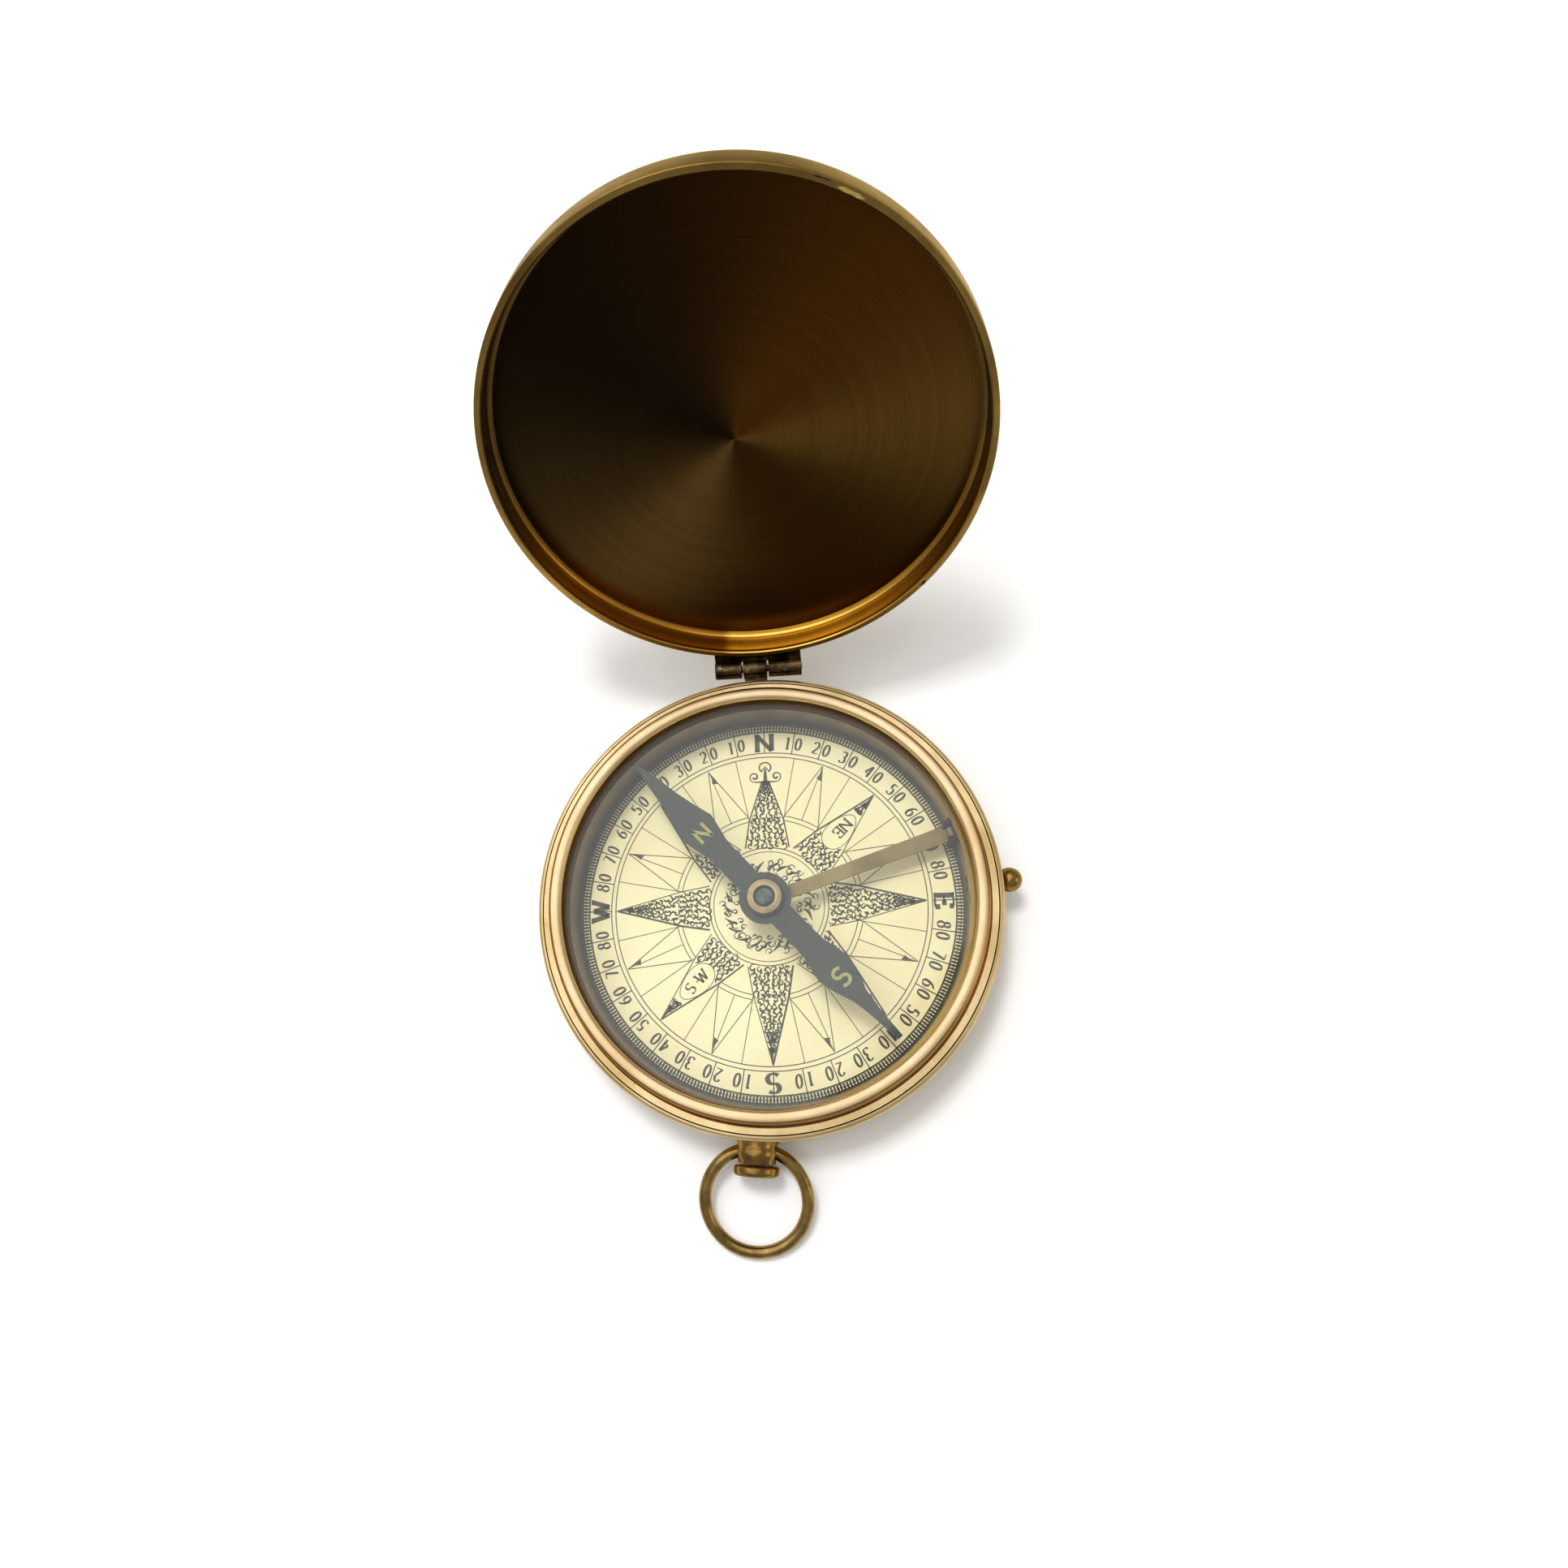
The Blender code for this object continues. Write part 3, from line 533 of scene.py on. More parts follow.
fine_ink = ink("dial_fine_ink", (0.10, 0.085, 0.055), (0.20, 0.17, 0.10))
needle_paint = ink("needle_letter_paint", (0.40, 0.37, 0.13), (0.29, 0.28, 0.11), 0.6)
needle_steel = blued_steel()
jewel = stone()
glass = clear_glass()


# ---- bowl ----------------------------------------------------------------------------
def bowl():
    """The case: a shallow groove under its foot, a beaded flange, and a seat for the bezel."""
    flange, inside, dark = 1, 2, 3
    base, fillet, corner, groove, bead, bead_inner = 1.4, 0.4, 3.0, 24.4, 0.65, 34.15
    foot, seat, bezel_bore, knob_hole = WALL_RADIUS - corner, FLANGE_TOP - 1.5, BEZEL_OUTER + GAP, 1.25
    profile = [(0, 0), (groove - 2.4, 0), (groove - 2.1, 0.3), (groove - 0.3, 0.3), (groove, 0)]
    profile += arc((foot, corner), corner, -90, 0, 10)
    profile += arc((WALL_RADIUS + 0.4, FLANGE_TOP - 1.8), 0.4, 180, 90, 4, flange)
    profile += arc((CASE_RADIUS - bead, FLANGE_TOP - 0.7), bead, -90, 80, 12, flange)
    # The groove inside the bead and the gap round the bezel take the dark brass, painted shade.
    profile += [(bead_inner + 0.1, FLANGE_TOP - 0.05, dark), (bead_inner, FLANGE_TOP - 0.2, dark),
                (bead_inner - 0.1, FLANGE_TOP - 0.01, flange), (BEZEL_OUTER + 0.55, FLANGE_TOP, flange),
                (bezel_bore, FLANGE_TOP - 0.25, dark), (bezel_bore, seat, inside),
                (BORE_RADIUS, seat, inside), (BORE_RADIUS, base + fillet, inside),
                (BORE_RADIUS - fillet, base, inside), (0, base, inside)]
    skin = lathe("bowl_skin", profile, case_brass, flange_brass, inner_brass, groove_brass_painted_shade)
    across = radial_frame(KNOB_AZIMUTH, BORE_RADIUS, KNOB_Z) @ Matrix.Rotation(math.pi / 2, 4, "Y")
    bore(skin, knob_hole, across)
    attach(skin, "bowl")
    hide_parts("bowl_shell")


def bezel():
    """The ring over the glass: a shallow groove round its side and a crown fuller than a half circle."""
    crown, side = 0, 1
    nose, lip, pocket, bottom, fullness = 0.95, BEZEL_CREST - 1.35, 31.6, FLANGE_TOP - 1.2, 0.98
    groove, spring = BEZEL_OUTER - 0.12, BEZEL_CREST - nose
    profile = [(BEZEL_OUTER, bottom, side), (BEZEL_OUTER, FLANGE_TOP + 0.4, side),
               (groove, FLANGE_TOP + 0.6, side), (groove, FLANGE_TOP + 0.9, side),
               (BEZEL_OUTER, FLANGE_TOP + 1.1, side), (BEZEL_OUTER, spring - 0.3, side)]
    # Painted light: the crown takes the lighter brass and the outer side the darker brass, painted shade.
    for x, z in arc((BEZEL_INNER + nose, 0), nose, 4, 176, 22):
        slot = side if x > BEZEL_OUTER - 0.4 else crown
        profile.append((x, spring + fullness * math.sqrt(nose * z), slot))
    profile += [(BEZEL_INNER, spring), (BEZEL_INNER + 0.15, lip), (pocket, lip), (pocket, lip - 1.5),
                (BORE_RADIUS, lip - 1.7), (BORE_RADIUS, bottom)]
    skin = lathe("bezel_skin", profile, bezel_brass, bezel_side_painted_shade)
    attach(skin, "bowl")
    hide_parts("bezel_ring")


def pane():
    """A slightly domed glass of even thickness."""
    radius, rise, thickness, edge, steps = 31.3, 1.2, 1.0, CARD_TOP + 8.1, 24
    under = [(radius * i / steps, edge + rise * (1 - (i / steps) ** 2)) for i in range(steps + 1)]
    over = [(r, z + thickness) for r, z in reversed(under)]
    skin = lathe("glass_pane", under + over, glass, segments=160)
    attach(skin, "bowl")
    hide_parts("glass")


# ---- lid and hinge -------------------------------------------------------------------
def opened():
    """Swings the shut lid open about the hinge."""
    return (Matrix.Translation(HINGE) @ Matrix.Rotation(math.radians(-LID_ANGLE), 4, "X")
            @ Matrix.Translation(-HINGE))


def lid():
    """Drawn shut and swung open: a rounded corner, a slight crown, and a lathe's centre mark inside."""
    wall, rim, ceiling = 1, 2, 3
    corner, inner, fillet, ease, crown = 1.7, LID_RADIUS - 0.9, 0.8, 0.2, 0.4
    lip = inner - 0.06
    profile = [(inner + 0.1, LID_RIM, rim), (LID_RADIUS - ease, LID_RIM, rim)]
    profile += arc((LID_RADIUS - ease, LID_RIM + ease), ease, -60, 0, 3, rim)
    profile += arc((LID_RADIUS - corner, LID_TOP - corner), corner, 0, 90, 14)
    for share in (1 - i / 10 for i in range(1, 11)):
        profile.append((LID_RADIUS * share, LID_TOP + crown * (1 - share ** 2)))
    profile += [(0, LID_FLOOR, ceiling), (0.12, LID_FLOOR + 0.04, ceiling), (0.4, LID_FLOOR, ceiling),
                (inner - fillet - 0.4, LID_FLOOR, ceiling)]
    profile += arc((inner - fillet, LID_FLOOR - fillet), fillet, 90, 0, 8, wall)
    profile += [(inner, LID_RIM + 0.9, wall), (lip, LID_RIM + 0.8, wall), (lip, LID_RIM + 0.15, wall)]
    skin = lathe("lid_skin", profile, lid_outer, lid_wall, lid_rim_brass, lid_floor, placed=opened())
    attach(skin, "lid")
    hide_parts("lid_shell")


# ---- knob, pendant and ring ----------------------------------------------------------
def knob():
    """A ball on a short flat-backed neck."""
    centre, radius, neck, back = 36.5, 1.84, 1.5, 34.3
    start = math.degrees(math.asin(neck / radius))
    ball = [(0, back), (neck, back)] + arc((0, centre), radius, start - 90, 90, 24)[:-1]
    ball.append((0, centre + radius))
    skin = lathe("knob_skin", ball, pendant_brass, segments=64, placed=outward_frame(KNOB_AZIMUTH, KNOB_Z))
    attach(skin, "knob")
    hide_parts("knob_ball")


def pendant():
    """A waisted stem, bored through for the ring, and the collar on its end."""
    start, stem_end, collar_end, eye_radius = WALL_RADIUS + GAP, 38.3, 40.1, 1.6
    placed = outward_frame(PENDANT_AZIMUTH, PENDANT_Z)
    stem = [(0, start), (3.15, start), (3.1, 35.3), (3.0, 35.8), (3.02, 36.0), (3.14, 36.4), (3.2, 36.8),
            (3.18, 37.1), (3.1, 37.5), (2.95, 37.85), (2.8, stem_end), (0, stem_end)]
    collar = [(0, stem_end + GAP)]
    collar += arc((2.95, stem_end + GAP + 0.4), 0.4, -90, 0, 6)
    collar += arc((2.75, collar_end - 0.6), 0.6, 0, 90, 8) + [(0, collar_end)]
    skin = lathe("pendant_skin", stem, pendant_brass, segments=96, placed=placed)
    across = radial_frame(PENDANT_AZIMUTH, PENDANT_EYE, PENDANT_Z) @ Matrix.Rotation(math.pi / 2, 4, "X")
    bore(skin, eye_radius, across)
    end = lathe("pendant_end", collar, pendant_brass, segments=96, placed=placed)
    for piece, node in ((skin, "pendant_stem"), (end, "pendant_collar")):
        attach(piece, "bowl")
        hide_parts(node)


def bow_ring():
    """Hangs in the pendant's eye, tilted down until it rests on the floor."""
    radius, wire, tilt, centre = 7.57, 0.9, 13.6, 43.75
    placed = (radial_frame(PENDANT_AZIMUTH, PENDANT_EYE, PENDANT_Z)
              @ Matrix.Rotation(math.radians(tilt), 4, "Y")
              @ Matrix.Translation(((centre - PENDANT_EYE) * MM, 0, 0)))
    skin = lathe("ring_skin", arc((radius, 0), wire, 0, 345, 23), ring_brass, segments=144, placed=placed)
    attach(skin, "ring")
    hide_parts("pendant_ring")


# ---- lettering -----------------------------------------------------------------------
def bow(cx, cy, rx, ry, start, end, steps=14):
    """Points of an ellipse's arc, from start to end in degrees."""
    return [(cx + rx * math.cos(math.radians(start + (end - start) * i / steps)),
             cy + ry * math.sin(math.radians(start + (end - start) * i / steps))) for i in range(steps + 1)]


# Strokes of serif letters and figures, one unit high and centred on the origin.
GLYPHS = {
    "0": [bow(0, 0, 0.25, 0.47, 0, 360, 26)],
    "1": [[(0.02, -0.48), (0.02, 0.48)], [(0.02, 0.48), (-0.14, 0.34)], [(-0.12, -0.48), (0.16, -0.48)]],
    "2": [bow(0, 0.2, 0.24, 0.27, 165, -30, 14) + [(-0.26, -0.46)], [(-0.26, -0.45), (0.28, -0.45)]],
    "3": [bow(-0.02, 0.24, 0.22, 0.23, 150, -90), bow(-0.02, -0.22, 0.26, 0.25, 90, -150)],
    "4": [[(0.12, -0.48), (0.12, 0.48)], [(0.12, 0.48), (-0.28, -0.18)], [(-0.28, -0.18), (0.28, -0.18)]],
    "5": [[(0.22, 0.46), (-0.18, 0.46)], [(-0.18, 0.46), (-0.2, 0.06)],
          bow(-0.02, -0.18, 0.26, 0.28, 130, -145)],
    "6": [[(0.2, 0.46), (-0.04, 0.32), (-0.2, 0.06), (-0.25, -0.18)], bow(0, -0.2, 0.25, 0.27, 0, 360, 22)],
    "7": [[(-0.26, 0.46), (0.26, 0.46)], [(0.26, 0.46), (-0.06, -0.48)]],
    "8": [bow(0, 0.24, 0.2, 0.22, 0, 360, 20), bow(0, -0.22, 0.25, 0.26, 0, 360, 22)],
    "N": [[(-0.36, -0.48), (-0.36, 0.48)], [(-0.38, 0.48), (0.36, -0.48)], [(0.36, -0.48), (0.36, 0.48)],
          [(-0.5, 0.48), (-0.3, 0.48)], [(-0.5, -0.48), (-0.22, -0.48)], [(0.22, 0.48), (0.5, 0.48)]],
    "E": [[(-0.22, -0.48), (-0.22, 0.48)], [(-0.36, 0.48), (0.3, 0.48)], [(-0.36, -0.48), (0.32, -0.48)],
          [(-0.22, 0), (0.14, 0)], [(0.3, 0.48), (0.3, 0.26)], [(0.32, -0.48), (0.32, -0.22)],
          [(0.14, 0.12), (0.14, -0.12)]],
    "S": [bow(0, 0.24, 0.26, 0.24, 40, 250, 16) + bow(0, -0.23, 0.28, 0.26, 80, -140, 16)],
    "W": [[(-0.46, 0.48), (-0.2, -0.48)], [(-0.2, -0.48), (0.02, 0.4)], [(0.02, 0.4), (0.22, -0.48)],
          [(0.22, -0.48), (0.48, 0.48)], [(-0.6, 0.48), (-0.32, 0.48)], [(0.34, 0.48), (0.6, 0.48)]],
    "-": [[(-0.14, 0), (0.14, 0)]],
}


def lay_out(line, centre, up, height, stretch=1.0):
    """Places one stroke of a glyph whose top points towards the azimuth up."""
    rise = direction(up)
    side = Vector((rise.y, -rise.x, 0))
    points = []
    for x, y in line:
        place = side * (x * height * stretch) + rise * (y * height)
        points.append((centre[0] + place.x, centre[1] + place.y))
    return points


def write(flat, letter, centre, up, height, weight, nib, stretch=1.0):
    """Draws a glyph with a broad nib, whose angle is counted from the letter's own side."""
    for line in GLYPHS[letter]:
        flat.stroke(lay_out(line, centre, up, height, stretch), weight, nib - up)


def curl(flat, centre, radius, turn, sense, width, turns, steps=14):
    """A small scroll that tightens and thickens towards its centre."""
    points, widths = [], []
    for i in range(steps + 1):
        t = i / steps
        reach = radius * (1 - 0.78 * t)
        angle = turn + sense * turns * 2 * math.pi * t
        points.append((centre[0] + reach * math.cos(angle), centre[1] + reach * math.sin(angle)))
        widths.append(width * (0.55 + 0.9 * t))
    flat.stroke(points, widths)


# ---- dial ----------------------------------------------------------------------------
# Radii of its circles, half widths of its great rays, and half the angle from a ray to the next.
MEDALLION = 9.35
SHOULDER = 14.0
MID_LINES = (14.0, 14.75)
TIP = 24.3
INNER_LINE = 24.5
FIGURE_LINE = 25.2
FIGURES = 26.95
LADDER_LINES = ((28.8, 0.26), (29.45, 0.12), (30.1, 0.6))
BASE_HALF = 3.5
SHOULDER_HALF = 2.72
HALF_GAP = 11.25


def ray_half(radius, tip):
    """Half width of a great ray at a radius, straight from base to shoulder and from there to the tip."""
    if radius < SHOULDER:
        share = (radius - MEDALLION) / (SHOULDER - MEDALLION)
        return BASE_HALF + (SHOULDER_HALF - BASE_HALF) * share
    return SHOULDER_HALF * (tip - radius) / (tip - SHOULDER)


def on_ray(azimuth, along, across):
    """A point at a distance along an azimuth and a distance clockwise from it."""
    out = direction(azimuth)
    return (out.x * along + out.y * across, out.y * along - out.x * across)


def scrolls(flat, azimuth, start, end, tip, draw, hollow=None):
    """Fills a ray between two radii with mirrored scrolls and leaves, except where hollow says so."""
    margin, narrowest, smallest, largest = 0.28, 0.22, 0.32, 0.78
    along = start + 0.45
    flip = 1
    while along < end:
        half = ray_half(along, tip) - margin
        if half < narrowest:
            break
        size = min(largest, max(smallest, half * 0.48))
        rows = max(1, round(half / (size * 1.25)))
        for k in range(rows):
            across = (k + 0.55) * half / rows
            for side in (-1, 1):
                if hollow and hollow(along, side * across):
                    continue
                spot = on_ray(azimuth, along + draw.uniform(-0.3, 0.3) * size, side * across)
                turn = draw.uniform(0, 6.28)
                curl(flat, spot, size * draw.uniform(0.6, 0.95), turn, side * flip, 0.26, 0.85)
                leaf = on_ray(azimuth, along + 0.75 * size, side * (across - 0.3 * size))
                tail = on_ray(azimuth, along + 1.3 * size, side * (across + 0.2 * size))
                flat.stroke([spot, leaf, tail], [0.1, 0.4, 0.05])
        along += size * 1.55
        flip = -flip


def outlined_ray(flat, azimuth, thick, thin, draw, hollow=None):
    """A great ray: one thick edge and one thin, scrolls between them and a dark tip."""
    for side, width in ((-1, thick), (1, thin)):
        flat.stroke([on_ray(azimuth, MEDALLION, side * BASE_HALF),
                     on_ray(azimuth, SHOULDER, side * SHOULDER_HALF), on_ray(azimuth, TIP, 0)], width)
    scrolls(flat, azimuth, MEDALLION, TIP - 1.0, TIP, draw, hollow)
    flat.shape([on_ray(azimuth, TIP - 2.6, 0.6), on_ray(azimuth, TIP, 0), on_ray(azimuth, TIP - 2.6, -0.2)])


def north_ray(flat, draw):
    """The great ray that ends under the flower, blunt and with even edges."""
    end, taper = 20.4, 22.6
    for side in (-1, 1):
        flat.stroke([on_ray(0, MEDALLION, side * BASE_HALF), on_ray(0, SHOULDER, side * SHOULDER_HALF),
                     on_ray(0, end, side * 0.55)], 0.22)
    scrolls(flat, 0, MEDALLION, end - 0.2, taper, draw)


def lettered_ray(bold, fine, azimuth, letters, draw):
    """A great ray with its letters in an egg-shaped cartouche."""
    middle, long_half, cross_half, steps = 16.35, 3.35, 1.75, 40

    def in_cartouche(along, across):
        return ((along - middle) / (long_half + 0.5)) ** 2 + (across / (cross_half + 0.55)) ** 2 < 1

    outlined_ray(bold, azimuth, 0.26, 0.15, draw, in_cartouche)
    outline = []
    for i in range(steps):
        angle = 2 * math.pi * i / steps
        along = middle + long_half * math.cos(angle)
        across = cross_half * math.sin(angle) * (1.12 - 0.25 * math.cos(angle))
        edge = ray_half(along, TIP)
        outline.append(on_ray(azimuth, along, max(-edge, min(edge, across))))
    fine.stroke(outline, 0.12, closed=True)
    reach = middle + 1.35
    for letter in letters:
        write(bold, letter, on_ray(azimuth, reach, 0), azimuth + 90, 1.8, 0.34, nib=20)
        reach -= 0.95 if letter == "-" else 1.55


def lily(flat):
    """The three-lobed flower on the north ray's point."""
    flat.stroke([(0, 20.0), (0, 21.2), (0, 22.6)], [0.7, 0.55, 0.28])
    flat.stroke(bow(0, 22.75, 0.95, 0.85, -60, 240, 20), 0.24)
    flat.stroke([(-0.55, 22.2), (0, 22.9), (0.55, 22.2)], 0.2)
    for side in (-1, 1):
        curl(flat, (side * 1.75, 21.2), 0.88, math.radians(-90), side, 0.26, 1.2, 20)
        flat.stroke([(0, 20.35), (side * 0.9, 20.3), (side * 1.75, 20.33)], [0.4, 0.25, 0.2])
    flat.stroke([(-0.75, 20.15), (0.75, 20.15)], 0.28)


def half_ray(bold, fine, azimuth):
    """A slim open ray with a dark point and a centre line, between two spokes and over two arcs."""
    foot = MID_LINES[1]
    apex = polar(azimuth, TIP)
    for side in (-1, 1):
        fine.stroke([polar(azimuth + side * HALF_GAP, foot), apex], 0.15)
    fine.stroke([polar(azimuth, foot), polar(azimuth, TIP - 1.5)], 0.13)
    bold.shape([on_ray(azimuth, TIP - 2.5, 0.62), on_ray(azimuth, TIP, 0), on_ray(azimuth, TIP - 1.8, 0.05),
                on_ray(azimuth, TIP - 2.1, -0.3)])
    for side in (-1, 1):
        spoke = azimuth + side * HALF_GAP
        fine.stroke([polar(spoke, SHOULDER), polar(spoke, INNER_LINE)], 0.13)
    for radius in MID_LINES:
        fine.stroke([polar(azimuth + HALF_GAP * i / 5, radius) for i in range(-5, 6)], 0.15)


def medallion(bold, fine, draw):
    """Two circles round a wreath of small scrolls and leaves."""
    fine.circle(MEDALLION, 0.17)
    fine.circle(MEDALLION - 0.65, 0.13)
    count = 22
    for i in range(count):
        azimuth = 360.0 * i / count + draw.uniform(-3, 3)
        for radius, size in ((7.1, 0.62), (6.2, 0.72), (5.1, 0.5)):
            spot = polar(azimuth + draw.uniform(-5, 5), radius + draw.uniform(-0.3, 0.3))
            flat = fine if radius > 7 else bold
            curl(flat, spot, size, draw.uniform(0, 6.28), draw.choice((-1, 1)), 0.22, 0.9)
        leaf = [polar(azimuth, 5.6), polar(azimuth + 5, 6.4), polar(azimuth + 14, 7.2)]
        bold.stroke(leaf, [0.15, 0.5, 0.08])


def scale_ring(bold, fine):
    """A ladder of single degrees, and figures every ten degrees, counted from north and south."""
    tick_end, long_tick, short_tick, figure_spacing, slant = 30.0, 28.75, 28.95, 1.85, 3
    for radius in (INNER_LINE, FIGURE_LINE):
        fine.circle(radius, 0.17)
    for radius, width in LADDER_LINES:
        bold.circle(radius, width)
    for degree in range(360):
        tick_start = short_tick if degree % 5 else long_tick
        bold.stroke([polar(degree, tick_start), polar(degree, tick_end)], 0.34)
    for azimuth in range(0, 360, 10):
        bold.stroke([polar(azimuth, FIGURE_LINE), polar(azimuth, long_tick)], 0.17)
        if azimuth % 90 == 0:
            continue
        shown = azimuth % 180
        for figure, side in zip(str(min(shown, 180 - shown)), (-1, 1)):
            place = azimuth + side * figure_spacing
            write(bold, figure, polar(place, FIGURES), place + slant, 2.1, 0.38, nib=12, stretch=0.78)


def cardinal_letters(bold, fine):
    for letter, azimuth in (("N", 0), ("E", 90), ("S", 180), ("W", 270)):
        write(bold, letter, polar(azimuth, FIGURES), azimuth, 2.9, 0.8, nib=8, stretch=1.12)
    fine.stroke([polar(180, 25.3), polar(180, 28.7)], 0.16)


def dial():
    """The card's print, in two inks."""
    draw = random.Random(7)
    bold, fine = Flat(), Flat()
    scale_ring(bold, fine)
    cardinal_letters(bold, fine)
    north_ray(bold, draw)
    for azimuth in (90, 180, 270):
        outlined_ray(bold, azimuth, 0.3, 0.16, draw)
    lily(bold)
    for azimuth, letters in ((45, "NE"), (135, "SE"), (225, "S-W"), (315, "N-W")):
        lettered_ray(bold, fine, azimuth, letters, draw)
    for eighth in range(8):
        half_ray(bold, fine, 2 * HALF_GAP + 45 * eighth)
    medallion(bold, fine, draw)
    height = (CARD_TOP + INK_RISE) * MM
    for flat, name, finish in ((bold, "dial_print", dial_ink), (fine, "dial_fine_print", fine_ink)):
        piece = flat.done(name, finish, Matrix.Translation((0, 0, height)))
        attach(piece, "bowl")


# ---- needle --------------------------------------------------------------------------
def needle_letters():
    """Painted N and S; the N has no serifs, so only its first three strokes."""
    above = Matrix.Translation((0, 0, (NEEDLE_TOP + INK_RISE) * MM))
    for name, lines, distance, stretch in (("needle_letter_N", GLYPHS["N"][:3], 14.1, 0.95),
                                           ("needle_letter_S", GLYPHS["S"], -16.2, 1.15)):
        flat = Flat()
        for line in lines:
            flat.stroke(lay_out(line, polar(NEEDLE_AZIMUTH, distance), NEEDLE_AZIMUTH, 2.8, stretch), 0.5)
        piece = flat.done(name, needle_paint, above)
        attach(piece, "needle")


def cap():
    """The stepped ring round the needle's jewel."""
    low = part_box("cap_ring")[0].z / MM
    profile = [(1.5, low), (2.6, low), (2.6, low + 0.36), (2.56, low + 0.42), (2.1, low + 0.55),
               (1.8, low + 0.6), (1.66, low + 0.58), (1.6, low + 0.5), (1.55, low + 0.36), (1.5, low + 0.2)]
    skin = lathe("cap_skin", profile, cap_brass, segments=96)
    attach(skin, "needle")
    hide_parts("cap_ring")


# ---- small marks ---------------------------------------------------------------------
def lid_marks():
    """A painted highlight where the lid's rim is dented, a dark nick beside it and another nearer the hinge.
    """
    # The dent's bright colour is a painted highlight, the glint that a dent catches.
    bright = Look("rim_dent_painted_glint", 1.0, 0.3)
    cloud = bright.spread(bright.noise(900.0, 4.0, 0.6), 0.35, 0.7)
    bright.colour(bright.mix(cloud, (0.95, 0.72, 0.24), (0.50, 0.34, 0.09)))
    dark = Look("rim_nick_dark", 0.6, 0.6)
    cloud = dark.spread(dark.noise(700.0, 3.0, 0.6), 0.35, 0.7)
    dark.colour(dark.mix(cloud, (0.012, 0.008, 0.004), (0.05, 0.03, 0.01)))
    placed = opened() @ Matrix.Translation((0, 0, (LID_RIM - INK_RISE) * MM))
    marks = (  # name, look, azimuths of its ends, radius, widths along it
        ("rim_dent", bright, (154.0, 148.5), 33.95, (0.12, 0.5, 0.36, 0.5, 0.16)),
        ("rim_nick_far", dark, (159.0, 155.5), 34.25, (0.04, 0.22, 0.12, 0.2, 0.03)),
        ("rim_nick_near", dark, (49.0, 47.0), 34.15, (0.05, 0.42, 0.5, 0.24, 0.04)),
    )
    for name, look, (start, end), radius, widths in marks:
        flat = Flat()
        last = len(widths) - 1
        points = [polar(start + (end - start) * i / last, radius) for i in range(last + 1)]
        flat.stroke(points, list(widths))
        mark = flat.done(name, look.material, placed)
        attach(mark, "lid")


def carry_over():
    """Gives the CAD nodes that are shown as they are their finishes."""
    finishes = (
        (card_paper, ("card",)),
        (case_brass, ("card_plate", "pivot_post", "pivot_nut")),
        (inner_brass, ("retaining_ring", "distance_ring")),
        (lever_brass, ("lift_collar", "arrest_lever")),
        (bracket_painted_shade, ("lever_bracket", "lever_pin")),
        (bronze, ("hinge_pin", "lid_hinge_leaf", "bowl_hinge_leaf")),
        (pendant_brass, ("knob_bush", "knob_stem")),
        (needle_steel, ("needle_blade", "needle_boss")),
        (jewel, ("cap_jewel",)),
    )
    for finish, names in finishes:
        for name in names:
            NODES[name].data.materials.clear()
            NODES[name].data.materials.append(finish)


# ---- stage ---------------------------------------------------------------------------
def floor():
    """A white square just under the bowl; sizes in metres."""
    half, level = 1.5, -0.00005
    bm = bmesh.new()
    bm.faces.new([bm.verts.new((half * x, half * y, level)) for x, y in ((-1, -1), (1, -1), (1, 1), (-1, 1))])
    look = Look("floor", 0.0, 0.9, Specular_IOR_Level=0.1)
    look.colour(look.mix(look.noise(8.0, 2.0), (0.90, 0.90, 0.895), (0.93, 0.93, 0.925)))
    add_smooth("floor", bm, [look.material])


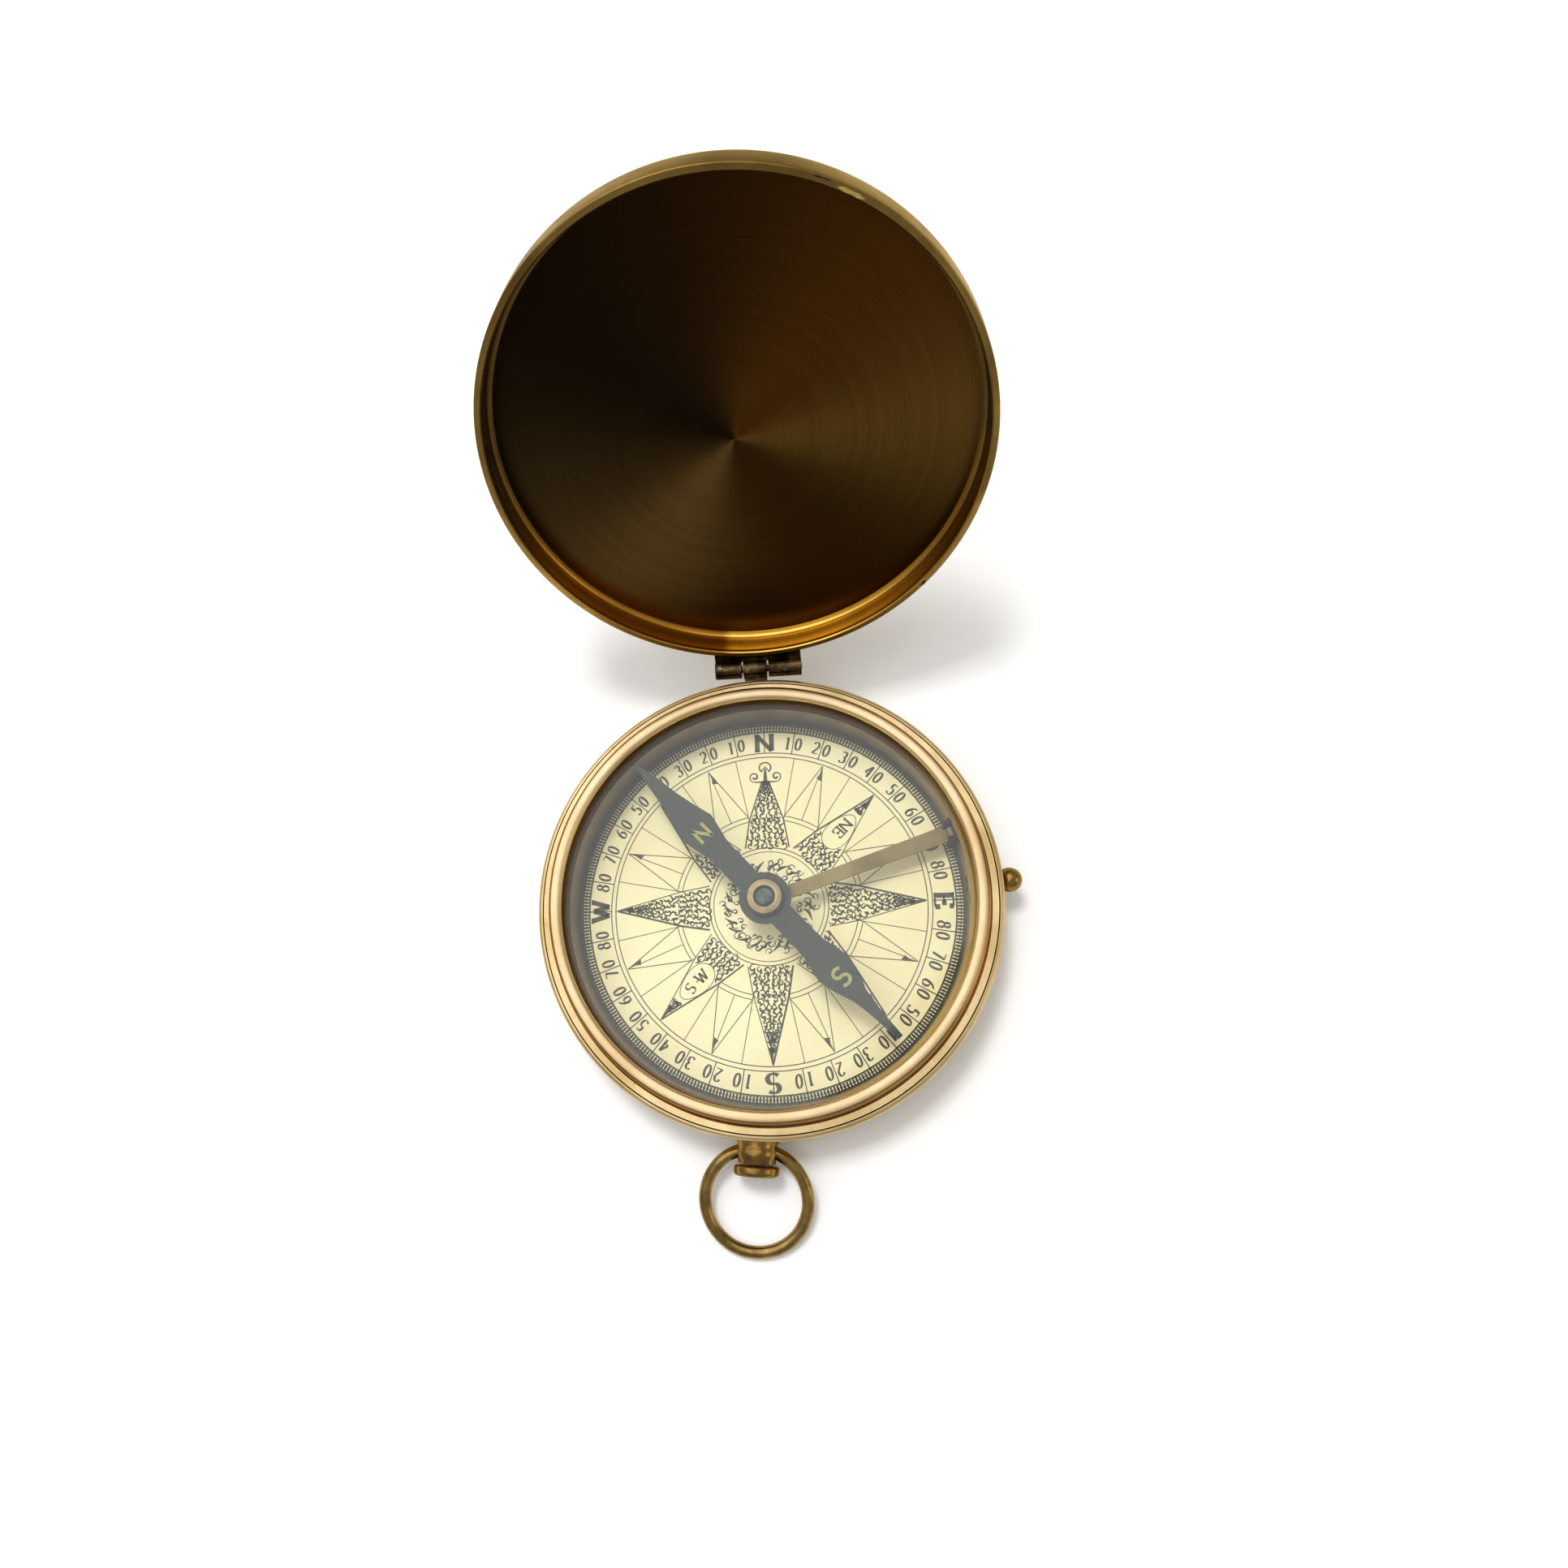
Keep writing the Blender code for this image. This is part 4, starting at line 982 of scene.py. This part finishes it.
def softbox(name, azimuth, elevation, distance, size, power, tint=(1.0, 1.0, 1.0), glossy=True):
    """A rectangular light aimed at the compass, in metres, degrees and watts."""
    light = bpy.data.lights.new(name, "AREA")
    light.shape = "RECTANGLE"
    light.size, light.size_y = size
    light.energy = power
    light.color = tint
    lamp = bpy.data.objects.new(name, light)
    bpy.context.scene.collection.objects.link(lamp)
    rise = math.radians(elevation)
    aim = Vector((0, 0.012, 0.01))
    place = aim + (direction(azimuth) * math.cos(rise) + Vector((0, 0, math.sin(rise)))) * distance
    turn = (aim - place).to_track_quat("-Z", "Y")
    lamp.matrix_world = Matrix.Translation(place) @ turn.to_matrix().to_4x4()
    lamp.visible_camera = False
    lamp.visible_glossy = glossy


def world_light():
    """Pale dome, brighter overhead than at the horizon."""
    world = bpy.data.worlds.new("studio")
    bpy.context.scene.world = world
    world.use_nodes = True
    tree = world.node_tree
    back = tree.nodes["Background"]
    coords = tree.nodes.new("ShaderNodeTexCoord")
    split = tree.nodes.new("ShaderNodeSeparateXYZ")
    ramp = tree.nodes.new("ShaderNodeValToRGB")
    ramp.color_ramp.elements[0].position = 0.05
    ramp.color_ramp.elements[0].color = (0.34, 0.33, 0.32, 1)
    ramp.color_ramp.elements[1].position = 0.95
    ramp.color_ramp.elements[1].color = (0.50, 0.50, 0.50, 1)
    tree.links.new(coords.outputs["Generated"], split.inputs[0])
    tree.links.new(split.outputs[2], ramp.inputs[0])
    tree.links.new(ramp.outputs[0], back.inputs[0])
    back.inputs[1].default_value = 1.0


def camera():
    """A short lens above the dial, tipped a little towards the lid."""
    place = Vector((0.01216, -0.02796, 0.16369))
    turn = Quaternion(Vector((0.8798, 0.4652, -0.0981)), 0.2992)
    view = bpy.data.cameras.new("camera")
    view.sensor_width = 36.0
    view.lens = 23.78
    view.shift_x = 0.0516
    view.shift_y = 0.0171
    view.clip_start = 0.005
    eye = bpy.data.objects.new("camera", view)
    bpy.context.scene.collection.objects.link(eye)
    eye.matrix_world = Matrix.Translation(place) @ turn.to_matrix().to_4x4()
    bpy.context.scene.camera = eye


def main():
    camera()
    world_light()
    softbox("overhead", 315, 66, 0.7, (0.9, 0.9), 3.3)
    softbox("high_north", 336, 71, 0.7, (0.16, 0.16), 2.3, glossy=False)
    softbox("east_fill", 100, 24, 0.6, (0.25, 0.25), 0.35, (1.0, 0.88, 0.7))
    floor()
    bowl()
    bezel()
    pane()
    lid()
    lid_marks()
    knob()
    pendant()
    bow_ring()
    dial()
    needle_letters()
    cap()
    carry_over()
    bpy.context.scene.view_settings.view_transform = "Standard"


main()
bpy.context.view_layer.update()
